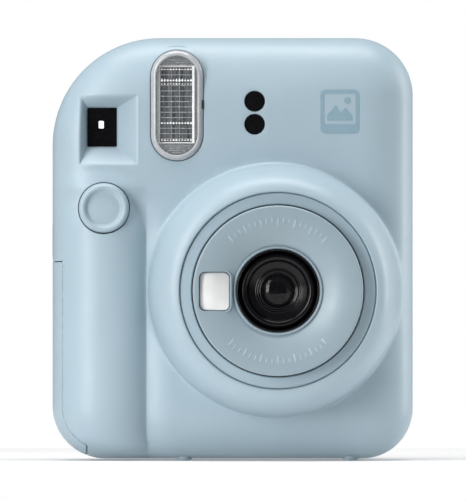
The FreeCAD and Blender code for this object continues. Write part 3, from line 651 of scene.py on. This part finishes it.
for a, b in ((0, 2), (0, 3), (1, 2), (1, 3)):
    p, q = (PANE[a], PANE[b]), (FUNNEL[a], FUNNEL[b])
    sheet.path([(mix(p[0], q[0], 0.06 + 0.93 * i / 16), mix(p[1], q[1], 0.06 + 0.93 * i / 16))
                for i in range(17)], closed=False)
columns = int((FUNNEL[1] - FUNNEL[0] + 2 * AROUND) / FUNNEL_STEP)
levels = int((FUNNEL[3] - FUNNEL[2] + 2 * AROUND) / FUNNEL_STEP)
for i in range(columns + 1):
    for j in range(levels + 1):
        x = FUNNEL[0] - AROUND + FUNNEL_STEP * i + 0.1 * (j % 2)
        z = FUNNEL[2] - AROUND + FUNNEL_STEP * j
        if edge_share(x, z) < 0.97 and not near_pane(x, z):
            sheet.add((x, z))
for off in (-0.14, 0.0, 0.14):
    z = FLOOR + 0.05
    line = []
    while z < CREASE_TOP + 1.0:
        line.append((CREASE + off, z))
        z += 0.35 if z < 3 else 1.0
    sheet.path(line, closed=False, keep=off_dome)
x = LEFT + 1.0
while x < RIGHT - 1:
    step = FINE_STEP if x < FINE_X else COARSE_STEP
    z = FLOOR + 1.0
    row = 0
    while z < TOP - 1:
        px = x + (step / 2 if row % 2 else 0)
        # elsewhere the rows along the outline already carry the rounding
        left_zone = x < FINE_X and z < FINE_Z
        if edge_share(px, z) < (0.985 if left_zone else 0.02) and off_features(px, z, 0.35):
            sheet.add((px, z))
        z += step
        row += 1
    x += step


def solid_here(x, z):
    """True outside every hole."""
    if math.hypot(x - LX, z - LZ) < MOUTH or math.hypot(x - BX, z - BZ) < BR + HOLE_GAP:
        return False
    if round_box(x, z, *FLASH_HOLE) < 0 or round_box(x, z, *PANE, PANE_R) < 0:
        return False
    return all(math.hypot(x - a, z - b) > SR + EYE_GAP for a, b in SENSORS)


sheet.build(front_height, solid_here)
skin_count = len(sheet.faces)
# the walls of the holes are a piece of their own, so that they aren't thickened with the skin; each ends
# short of the part behind it
sheet.wall(mouth, [lambda x, y, z: (x, LIP + 0.9, z), lambda x, y, z: (x, LIP + 4.0, z)], False)
sheet.wall(button_hole, [lambda x, y, z: (x, y + 0.8, z), lambda x, y, z: (x, FRONT + 1.3, z)], False)
sheet.wall(flash_hole, [lambda x, y, z: (x, y + 0.7, z), lambda x, y, z: (x, FY[1] + 0.5, z)], False)
for eye in eyes:
    sheet.wall(eye, [lambda x, y, z: (x, y + 0.6, z), lambda x, y, z: (x, FRONT + 1.9, z)], False)
liners = sheet.faces[skin_count:]
sheet.faces = sheet.faces[:skin_count]
piece("shell_liners", sheet.verts, liners, "camera", "shell_blue", blue.mat)
normals = {(round(p[0], 3), round(p[1], 3)): (p[2], p[3]) for p in edge}


def side_row(y, inset=0.0):
    """Row of a side wall, following the outline."""
    def row(x, _, z):
        nx, nz = normals[(round(x, 3), round(z, 3))]
        return (x - nx * inset, y, z - nz * inset)
    return row


SIDE_Y = 1.5                      # a row of the side wall, from which the lid's own wall runs on
sheet.wall(rim, [side_row(EDGE + 1.2), side_row(SIDE_Y), side_row(SPLIT - 2), side_row(SPLIT - 0.45),
                 side_row(SPLIT - 0.2, 0.08), side_row(SPLIT - 0.12, 0.28)], True)
front_verts, front_faces = sheet.verts, sheet.faces


def carve(verts, faces, planes, wanted):
    """Cuts the faces near some planes and keeps those whose middles are wanted."""
    verts, faces = tidy_mesh(verts, faces)
    bm = bmesh.new()
    made = [bm.verts.new(v) for v in verts]
    for f in faces:
        bm.faces.new([made[i] for i in f])
    for co, no, zone in planes:
        geom = [f for f in bm.faces if zone(f.calc_center_median())]
        edges = {e for f in geom for e in f.edges}
        points = {v for f in geom for v in f.verts}
        bmesh.ops.bisect_plane(bm, geom=list(geom) + list(edges) + list(points), plane_co=co, plane_no=no,
                               dist=1e-5)
    gone = [f for f in bm.faces if not wanted(f.calc_center_median())]
    bmesh.ops.delete(bm, geom=gone, context="FACES")
    bm.verts.index_update()
    out = ([tuple(v.co) for v in bm.verts], [tuple(v.index for v in f.verts) for f in bm.faces])
    bm.free()
    return out


def lid_planes(grow):
    """The planes round the battery lid, moved outward by a gap."""
    def zone(c):
        return c.x < LID_END + 3 and c.z < LID_TOP + 3
    return [(Vector((LID_END + grow, 0, 0)), Vector((1, 0, 0)), zone),
            (Vector((0, 0, LID_TOP + grow)), Vector((0, 0, 1)), zone),
            (Vector((0, LID_FRONT - grow, 0)), Vector((0, 1, 0)), zone)]


def in_lid(c, gap):
    return c.x < LID_END + gap and c.z < LID_TOP + gap and c.y > LID_FRONT - gap


_, LUG_Y, LUG_Z = span("strap_lug")
LUG_REACH = 3                     # how far in from the left side the cut for the strap lug goes


def in_lug(c):
    return c.x < LEFT + LUG_REACH and LUG_Y[0] < c.y < LUG_Y[1] and LUG_Z[0] < c.z < LUG_Z[1]


def near_lug(c):
    return c.x < LEFT + LUG_REACH and LUG_Z[0] - 4 < c.z < LUG_Z[1] + 4


planes = lid_planes(GAP)
for y in LUG_Y:
    planes.append((Vector((0, y, 0)), Vector((0, 1, 0)), near_lug))
for z in LUG_Z:
    planes.append((Vector((0, 0, z)), Vector((0, 0, 1)), near_lug))
shell = piece("front_shell", *carve(front_verts, front_faces, planes,
                                    lambda c: not in_lid(c, GAP) and not in_lug(c)),
              "camera", "shell_blue", blue.mat, ["front_cover"])
thin_near(shell, thicken(shell), lambda x, z: math.hypot(x - BX, z - BZ) - BR - HOLE_GAP,
          reach=3.0, least=0.08)

# the battery lid: the same skin, run straight back past the seam
SPARE = 6                         # skin taken beyond the lid's edges, before it is cut to size
lid_verts = list(front_verts)
lid_faces = [f for f in front_faces
             if all(lid_verts[i][0] < LID_END + SPARE and lid_verts[i][1] < SIDE_Y + 0.1 for i in f)]
cols = []
for p in edge:
    if p[0] < LID_END + SPARE and p[1] < LID_TOP + SPARE:
        cols.append([len(lid_verts) + k for k in range(3)])
        lid_verts += [(p[0], y, p[1]) for y in (SIDE_Y, 8.0, LID_BACK)]
    else:
        cols.append(None)
for a, b in zip(cols, cols[1:] + cols[:1]):
    if a and b:
        for k in range(2):
            lid_faces.append((a[k], a[k + 1], b[k + 1], b[k]))
lid = piece("battery_lid", *carve(lid_verts, lid_faces, lid_planes(0.0), lambda c: in_lid(c, 0.0)),
            "battery_cover", "shell_blue", blue.mat, ["battery_cover"])
weld = lid.modifiers.new("weld", "WELD")
weld.merge_threshold = 0.02 * MM
thin_near(lid, thicken(lid), lambda x, z: LID_END - x, reach=2.5, least=0.15)


# ------------------------------------------------------------------ lens barrel
FACE, BARREL_BACK = span("lens_barrel")[1]
BARREL_R = 24.5
FACE_R = 23.6                     # outer radius of the dished face
WELL_R = 12.95                    # its inner radius, where the rim of the opening starts
HOLE_R = 12.0
SEGMENTS = 180
MX, MY, MZ = span("selfie_mirror")
MIRROR_R, POCKET_R = 1.7, 1.8     # corner radii
POCKET = (MX[0] - 0.15, MX[1] + 0.15, MZ[0] - 0.15, MZ[1] + 0.15)


def dish(r):
    """Depth of the barrel's face at a radius."""
    t = max(0.0, (FACE_R - r) / 10.7)
    return FACE + 3.0 * t ** 2.2


def barrel_height(x, z):
    r = math.hypot(x - LX, z - LZ)
    y = dish(r)
    seat = MY[0] + 0.15 + 0.9 * smooth((round_box(x, z, *MX, *MZ, MIRROR_R) - 0.55) / 0.5)
    y = min(y, seat) if seat < MY[0] + 1.0 else y
    return y + lip(round_box(x, z, *POCKET, POCKET_R), 0.2)


face = Sheet()
outer = face.path(circle(LX, LZ, FACE_R, SEGMENTS))
inner = face.path(circle(LX, LZ, WELL_R, SEGMENTS))
pocket = face.path(rect_loop(*POCKET, POCKET_R, 0.4))
for add in (0.07, 0.14, 0.22, 0.4, 0.55, 0.68, 0.8, 0.92, 1.05):
    face.path(rect_loop(POCKET[0] - add, POCKET[1] + add, POCKET[2] - add, POCKET[3] + add,
                        POCKET_R + add, 0.5), keep=lambda x, z: 13.1 < math.hypot(x - LX, z - LZ) < 23.4)
for k in range(1, 14):
    face.path(circle(LX, LZ, mix(WELL_R, FACE_R, k / 14), SEGMENTS),
              keep=lambda x, z: round_box(x, z, *MX, *MZ, MIRROR_R) > 1.4)
face.build(barrel_height, lambda x, z: (WELL_R < math.hypot(x - LX, z - LZ) < FACE_R
                                        and round_box(x, z, *POCKET, POCKET_R) > 0))


def ring_row(r, y):
    """Row of a round wall about the lens axis."""
    def row(x, _, z):
        d = math.hypot(x - LX, z - LZ)
        return (LX + (x - LX) * r / d, y, LZ + (z - LZ) * r / d)
    return row


face.wall(outer, [ring_row(r, y) for r, y in arc(23.9, FACE + 0.6, 0.6, 100, 0, 7)]
          + [ring_row(BARREL_R, FACE + 3), ring_row(BARREL_R, BARREL_BACK),
             ring_row(BARREL_R - 1.6, BARREL_BACK)], True)
face.wall(inner, [ring_row(r, y) for r, y in
                  [(12.86, FACE + 2.95), (12.8, FACE + 2.6)] + arc(12.5, FACE + 2.6, 0.28, 10, 170, 8)
                  + [(12.2, FACE + 2.75), (HOLE_R, FACE + 3.0), (HOLE_R, FACE + 5.0)]], False)
face.wall(pocket, [lambda x, y, z: (x, MY[0] + 1.1, z)], False)
# the barrel face wears the darkened copy of the shell blue, painted shade for its dish
piece("barrel_shell", face.verts, face.faces, "lens_barrel", "shell_blue", shaded_blue_smooth.mat,
      ["lens_barrel"], sharp=40)

pillow = Sheet()
brim = pillow.path(rect_loop(*MX, *MZ, MIRROR_R, 0.5))
for add in (0.1, 0.25, 0.45, 0.9, 1.6, 2.4, 3.3):
    pillow.path(rect_loop(MX[0] + add, MX[1] - add, MZ[0] + add, MZ[1] - add,
                          max(0.4, MIRROR_R - add * 0.5), 0.5))
mx, mz = sum(MX) / 2, sum(MZ) / 2
hx, hz = (MX[1] - MX[0]) / 2, (MZ[1] - MZ[0]) / 2
pillow.build(lambda x, z: MY[0] + 0.05 + 0.6 * (((x - mx) / hx) ** 2 + ((z - mz) / hz) ** 2) / 2
             + lip(-round_box(x, z, *MX, *MZ, MIRROR_R), 0.25),
             lambda x, z: round_box(x, z, *MX, *MZ, MIRROR_R) < 0)
pillow.wall(brim, [lambda x, y, z: (x, MY[1], z)], True)
piece("mirror_plate", pillow.verts, pillow.faces, "lens_barrel", "mirror", mirror.mat,
      ["selfie_mirror"], sharp=50)


def raised(loop, height, rise, edge_in=0.08):
    """Low relief on a surface, from a counter-clockwise loop."""
    n = len(loop)
    cx = sum(p[0] for p in loop) / n
    cz = sum(p[1] for p in loop) / n
    top = []
    for x, z in loop:
        d = math.hypot(x - cx, z - cz)
        k = 1 - edge_in / d
        top.append((cx + (x - cx) * k, cz + (z - cz) * k))
    verts = [(cx, height(cx, cz) - rise, cz)] + [(x, height(x, z) - rise, z) for x, z in top]
    verts += [(x, height(x, z) - rise * 0.6, z) for x, z in loop]
    verts += [(x, height(x, z) + 0.1, z) for x, z in loop]
    faces = []
    for i in range(n):
        j = (i + 1) % n
        faces.append((0, 1 + i, 1 + j))
        for k in range(2):
            a, b = 1 + k * n, 1 + (k + 1) * n
            faces.append((a + i, b + i, b + j, a + j))
    return verts, faces


def bar_loop(angle, r0, r1, width, n=5):
    """Round-ended bar along a radius of the lens."""
    out = []
    for r, first in ((r1, -90), (r0, 90)):
        for i in range(n + 1):
            t = math.radians(first + 180.0 * i / n)
            along = r + width / 2 * math.cos(t)
            across = width / 2 * math.sin(t)
            ca, sa = math.cos(angle), math.sin(angle)
            out.append((LX + along * ca - across * sa, LZ + along * sa + across * ca))
    return out


marks = []
for centre in (90.0, 270.0):
    for i in range(-9, 10):
        angle = math.radians(centre + 4.7 * i)
        long = i % 3 == 0
        r0, r1 = (18.9 if long else 19.7), 20.8
        marks.append(raised(bar_loop(angle, r0, r1, 0.55 if long else 0.42),
                            lambda x, z: dish(math.hypot(x - LX, z - LZ)), rise=0.1))
piece("scale_ticks", *join(*marks), "lens_barrel", "shell_blue", tick_blue.mat, sharp=40)

# ------------------------------------------------------------------ lens hood and glass
H = span("lens_hood")[1][0] + 0.7  # depths in the hood and lens are counted from here
hood = lathe([(4.6, H + 5.0), (4.7, H + 4.6)] + arc(5.1, H + 4.5, 0.2, 170, 10, 4)
             + arc(5.75, H + 4.4, 0.2, 170, 10, 4) + arc(6.35, H + 4.25, 0.2, 170, 10, 4)
             + [(7.2, H + 4.0), (8.3, H + 3.7), (8.6, H + 3.3)] + arc(9.75, H + 2.9, 1.15, 168, 12, 14)
             + [(11.0, H + 3.0), (11.2, H + 2.8), (11.4, H + 0.7)]
             + arc(11.65, H + 0.35, 0.2, 160, 20, 4) + [(11.95, H + 0.8), (11.95, H + 5.3)], 144)
piece("hood_rings", *hood, "lens_barrel", "black_plastic", hood_black.mat, ["lens_hood"], sharp=35)
iris = lathe([(1.9, H + 5.4), (2.7, H + 5.2), (3.2, H + 4.9), (4.6, H + 4.75), (4.7, H + 5.2)], 96)
iris_look = Look("iris_grey", (0.014, 0.015, 0.017), 0.3, Specular_IOR_Level=0.3)
iris_look.tint(1.0, 0.2).polish(0.8, 0.22, 0.38)
piece("iris_cone", *iris, "lens_barrel", "black_plastic", iris_look.mat, sharp=35)
pupil = plate(rect_loop(LX - 2.4, LX + 2.4, LZ - 2.4, LZ + 2.4, 0.9, 0.5), H + 5.15, H + 5.4, 0.1)
piece("iris_gate", *pupil, "lens_barrel", "black_plastic", hood_black.mat, sharp=35)
lens_look = Look("front_glass", (0.003, 0.003, 0.004), 0.05, Alpha=0.7, Specular_IOR_Level=0.3)
lens_look.tint(2.0, 0.2).polish(2.0, 0.04, 0.07)
GLASS_R = 4.75
glass_curve = [(GLASS_R * math.sin(math.radians(a)), H + 4.75 - 2.2 * math.cos(math.radians(a)))
               for a in range(0, 91, 5)]
piece("glass_dome", *lathe(glass_curve, 96), "lens_barrel", "optical_glass", lens_look.mat,
      ["front_element"])

# ------------------------------------------------------------------ shutter button
BUTTON_Y, BUTTON_BACK = span("shutter_button")[1]
STEM_R = 2.4
cap_curve = [(0.0, 0.95), (2.0, 0.97), (3.6, 1.08), (4.4, 1.2), (4.7, 1.2), (4.95, 1.0), (5.2, 0.62),
             (5.45, 0.3), (5.75, 0.08), (6.1, 0.0), (6.45, 0.08), (6.8, 0.36), (7.05, 0.8), (7.2, 1.4),
             (BR, 2.0), (BR, 5.0), (BR - 1.2, 5.0), (BR - 1.2, 3.1), (STEM_R, 3.1)]
cap = lathe([(r, BUTTON_Y + y) for r, y in cap_curve] + [(STEM_R, BUTTON_BACK)], 96, BX, BZ)
piece("button_cap", *cap, "shutter_button", "shell_blue", blue.mat, ["shutter_button"], sharp=50)


# ------------------------------------------------------------------ flash
FLASH_R = 7.5


def capsule(inset, y, n=16):
    """The flash's outline at a depth, drawn in by an inset."""
    r = FLASH_R - inset
    x0, x1, z0, z1 = FX[0] + inset, FX[1] - inset, FZ[0] + inset, FZ[1] - inset
    r = min(r, (x1 - x0) / 2 - 0.001)
    out = []
    for cx, cz, a in corner_arcs(x0, x1, z0, z1, r):
        for i in range(n + 1):
            t = math.radians(a + 90.0 * i / n)
            out.append((cx + r * math.cos(t), y, cz + r * math.sin(t)))
    return out


def loft(rows, cap=False):
    """Surface through rows of points, closed over the first one if asked."""
    n = len(rows[0])
    verts = [v for row in rows for v in row]
    faces = [tuple(range(n))] if cap else []
    return verts, faces + bands(n, len(rows) - 1)


Y = FY[0]
BED_Y = Y + 2.5                   # floor of the flash, on which its ribs and bars stand
rim_look = Look("flash_rim", (0.40, 0.42, 0.44), 0.26, 0.0, Coat_Weight=0.25, Coat_Roughness=0.1)
rim_look.tint(1.5, 0.08).polish(1.0, 0.14, 0.24)
rows = [capsule(1.7, Y + 2.6), capsule(1.66, Y + 0.7), capsule(1.58, Y + 0.28), capsule(1.42, Y + 0.1),
        capsule(1.15, Y + 0.12), capsule(0.85, Y + 0.26), capsule(0.5, Y + 0.5), capsule(0.22, Y + 0.82),
        capsule(0.06, Y + 1.2), capsule(0.0, Y + 1.6), capsule(0.0, FY[1])]
piece("flash_rim", *loft(rows), "camera", "clear_plastic", rim_look.mat, ["flash_lens"], sharp=60)
cover = loft([capsule(5.6, Y + 0.42), capsule(4.2, Y + 0.45), capsule(2.8, Y + 0.52),
              capsule(1.8, Y + 0.62)], True)
veil = Look("flash_veil", (0.80, 0.84, 0.87), 0.08, Alpha=0.05).grain(3.0, 0.01).polish(2.0, 0.05, 0.12)
piece("flash_cover", *cover, "camera", "clear_plastic", veil.mat)
fx = (FX[0] + FX[1]) / 2 - 0.15
R0, R1 = FZ[0] + 5.2, FZ[1] - 4.6  # lower and upper end of the flash's grid
bed_look = Look("flash_bed", (0.085, 0.09, 0.095), 0.3, 0.3).tint(0.7, 0.95, (1, 1, 0.06))
bed_look.polish(0.4, 0.15, 0.45, (1, 1, 0.1)).grain(0.4, 0.05, (1, 1, 0.1))
rib_look = Look("flash_rib", (0.30, 0.31, 0.32), 0.2).tint(0.8, 0.45).polish(0.6, 0.14, 0.3)
# white for the bars that frame the flash's grid, and for its painted glints
bar_and_glint_look = Look("flash_white_bar_and_glint", (0.92, 0.93, 0.94), 0.2)
bar_and_glint_look.tint(0.8, 0.08).polish(0.6, 0.14, 0.3)
bed = loft([capsule(5.0, BED_Y), capsule(1.88, BED_Y)], True)
piece("flash_bed", *bed, "camera", "bright_metal", bed_look.mat, sharp=35)


def half_width(z, inset):
    """Half the width of the capsule at a height."""
    r = FLASH_R - inset
    far = max(0.0, z - (FZ[1] - FLASH_R), FZ[0] + FLASH_R - z)
    return math.sqrt(max(0.0, r * r - far * far))


ribs = []
z = R0 + 1.1
while z < R1 - 0.8:
    ribs.append(plate(rect_loop(fx - 4.6, fx + 4.7, z - 0.11, z + 0.11, 0.08, 5.0), Y + 1.9, BED_Y, 0.07))
    z += 1.54
for x in (fx - 1.5, fx + 0.9):
    ribs.append(plate(rect_loop(x - 0.09, x + 0.09, R0 + 0.3, R1 - 0.3, 0.07, 8.0), Y + 2.0, BED_Y, 0.06))
k = 0
for low_end, high_end in ((FZ[0] + 2.3, R0 - 0.3), (R1 + 0.4, FZ[1] - 2.1)):
    z = low_end
    while z <= high_end:
        w = half_width(z, 2.1) - (0.35 if k % 2 else 0.0)
        if w > 1.0:
            ribs.append(plate(rect_loop(fx + 0.15 - w, fx + 0.15 + w, z - 0.15, z + 0.15, 0.08, 3.0),
                              Y + 1.9, BED_Y, 0.12))
        z += 0.66
        k += 1
piece("flash_ribs", *join(*ribs), "camera", "clear_plastic", rib_look.mat, sharp=35)
bar_and_glint_plates = []
for x0, x1 in ((fx - 5.45, fx - 5.2), (fx - 4.95, fx - 4.75), (fx + 4.55, fx + 5.2)):
    bar_and_glint_plates.append(plate(rect_loop(x0, x1, R0, R1, 0.08, 8.0), Y + 1.7, BED_Y, 0.07))
for z in (R0, R1):
    bar_and_glint_plates.append(plate(rect_loop(fx - 5.4, fx + 5.2, z - 0.12, z + 0.12, 0.08, 8.0), Y + 1.7, BED_Y, 0.07))
# painted glints: small jagged white shapes, eleven at each of five heights, standing for the sparkling
# highlights in the flash
for level, tall in ((R1 - 1.0, 0.35), (R1 - 4.2, 0.75), (R1 - 5.2, 0.3), (R0 + 5.6, 0.5), (R0 + 0.7, 0.4)):
    for i in range(11):
        c = fx - 4.2 + 0.84 * i
        up = tall * (0.45 + 0.55 * abs(math.sin(3.7 * i + 9.1 * level)))
        side_w = 0.22 + 0.16 * abs(math.cos(5.3 * i + level))
        bar_and_glint_plates.append(plate([(c + side_w, level), (c + 0.05, level + up), (c - side_w, level + 0.05),
                           (c - 0.03, level - up * 0.6)], Y + 1.8, BED_Y, 0.04))
piece("flash_white_bars_and_glints", *join(*bar_and_glint_plates), "camera", "clear_plastic", bar_and_glint_look.mat, sharp=35)
# painted shade: a thin black plate at the rim's right edge, standing for the dark inside of a small notch
# there
NOTCH_SHADE_Z = FZ[0] + 16.2
notch_shade = plate(rect_loop(FX[1] - 0.5, FX[1] - 0.03, NOTCH_SHADE_Z - 1.3, NOTCH_SHADE_Z + 1.3, 0.1, 0.4),
              Y + 0.55, Y + 2.0, 0.05)
piece("flash_notch_shade", *notch_shade, "camera", "black_plastic", black.mat, sharp=40)

# ------------------------------------------------------------------ pictogram and finder marks
def drape(outer_loop, holes, rise):
    """Low relief that follows the front shell, with holes in it."""
    s = Sheet()
    o = s.path(outer_loop)
    hs = [s.path(h) for h in holes]

    def within(x, z, loop):
        odd = False
        for (ax, az), (bx, bz) in zip(loop, loop[1:] + loop[:1]):
            if (az > z) != (bz > z) and x < ax + (z - az) * (bx - ax) / (bz - az):
                odd = not odd
        return odd

    s.build(lambda x, z: front_height(x, z) - rise,
            lambda x, z: within(x, z, outer_loop) and not any(within(x, z, h) for h in holes))
    s.wall(o, [lambda x, y, z: (x, y + rise + 0.15, z)], True)
    for h in hs:
        s.wall(h, [lambda x, y, z: (x, y + rise + 0.15, z)], False)
    return s.verts, s.faces


PX, PZ = 30.9, 100.7              # middle of the pictogram
RISE = 0.07
frame_mark = drape(rect_loop(PX - 5.6, PX + 5.6, PZ - 6.3, PZ + 6.3, 1.4, 0.6),
                   [rect_loop(PX - 4.5, PX + 4.5, PZ - 3.6, PZ + 5.2, 0.5, 0.6)], RISE)
hill = drape([(PX - 3.7, PZ - 2.6), (PX + 3.7, PZ - 2.6), (PX + 3.7, PZ - 1.2), (PX + 1.6, PZ + 1.2),
              (PX + 0.4, PZ - 0.2), (PX - 1.2, PZ + 1.9), (PX - 3.7, PZ - 1.0)], [], RISE)
sun = drape(circle(PX + 2.2, PZ + 3.2, 0.95, 24), [], RISE)
piece("picture_mark", *join(frame_mark, hill, sun), "camera", "shell_blue", print_blue.mat, sharp=40)
# painted light: an emissive white plate in the finder window, glowing though it is no lamp
finder_glow_look = Look("finder_painted_glow", (0.85, 0.86, 0.86), 0.3, Emission_Color=(1, 1, 1, 1), Emission_Strength=0.35)
finder_glow_look.tint(0.5, 0.05)
PAINTED_GLOW_SPOT = (-38.65, -37.15, 95.85, 98.05)  # painted light: a glowing plate that stands in for daylight seen through the finder
glow_plate = plate(rect_loop(*PAINTED_GLOW_SPOT, 0.3, 0.3), pane[1][0] - 0.03, pane[1][0] + 0.1, 0.03)
piece("finder_painted_glow", *glow_plate, "camera", "white_plastic", finder_glow_look.mat, sharp=40)

# ------------------------------------------------------------------ floor, lights and camera
bpy.ops.mesh.primitive_plane_add(size=0.6, location=(0, 0, 0))
floor = bpy.context.object
floor.name = "floor"
floor_look = Look("floor_white", (0.72, 0.72, 0.72), 0.7, Emission_Color=(1, 1, 1, 1), Emission_Strength=0.2)
floor_look.tint(300.0, 0.004)
floor.data.materials.append(floor_look.mat)

# the world is plain white to the camera, and a weaker, slightly blue light for everything else
world = bpy.data.worlds.new("studio")
bpy.context.scene.world = world
world.use_nodes = True
tree = world.node_tree
back = tree.nodes["Background"]
back.inputs["Color"].default_value = (0.96, 0.98, 1.0, 1)
back.inputs["Strength"].default_value = 0.17
seen = tree.nodes.new("ShaderNodeBackground")
seen.inputs["Color"].default_value = (1, 1, 1, 1)
seen.inputs["Strength"].default_value = 1.0
rays = tree.nodes.new("ShaderNodeLightPath")
blend = tree.nodes.new("ShaderNodeMixShader")
tree.links.new(rays.outputs["Is Camera Ray"], blend.inputs["Fac"])
tree.links.new(back.outputs["Background"], blend.inputs[1])
tree.links.new(seen.outputs["Background"], blend.inputs[2])
tree.links.new(blend.outputs["Shader"], tree.nodes["World Output"].inputs["Surface"])

TARGET = Vector((0, 0, 0.06))      # middle of the object, in metres


def light(name, azimuth, elevation, distance, size, watts):
    """Soft box turned to the target. Azimuth 0 is in front, negative to the left."""
    a, e = math.radians(azimuth), math.radians(elevation)
    place = TARGET + distance * Vector((math.sin(a) * math.cos(e), -math.cos(a) * math.cos(e), math.sin(e)))
    data = bpy.data.lights.new(name, "AREA")
    data.shape = "RECTANGLE"
    data.size, data.size_y = size
    data.energy = watts
    obj = bpy.data.objects.new(name, data)
    obj.location = place
    obj.rotation_euler = (TARGET - place).to_track_quat("-Z", "Y").to_euler()
    bpy.context.scene.collection.objects.link(obj)


light("key", -42, 8, 1.0, (0.3, 0.5), 5.4)
light("high_key", -50, 32, 1.0, (0.4, 0.5), 3.0)
light("top", 0, 80, 0.9, (0.8, 0.4), 8.0)
light("edge", 100, 10, 1.0, (0.3, 0.9), 6.8)
light("back_edge", 125, 18, 1.0, (0.4, 0.9), 0.9)

camera = bpy.data.cameras.new("camera")
camera.type = "PERSP"
DISTANCE = 5.0                    # metres; far off, since the photo shows almost no perspective
HIGH = 0.1445                     # metres of the object plane along the picture's longer side
MIDDLE_X, MIDDLE_Z = 0.0001, 0.0608  # of the picture
SENSOR = 36.0
camera.sensor_width = SENSOR
camera.lens = SENSOR * DISTANCE / HIGH
camera.clip_start = 0.1
camera.clip_end = 100.0
viewer = bpy.data.objects.new("camera", camera)
bpy.context.scene.collection.objects.link(viewer)
viewer.location = (MIDDLE_X, -DISTANCE, MIDDLE_Z)
viewer.rotation_euler = (math.radians(90), 0, 0)
bpy.context.scene.camera = viewer
bpy.context.scene.view_settings.view_transform = "Standard"
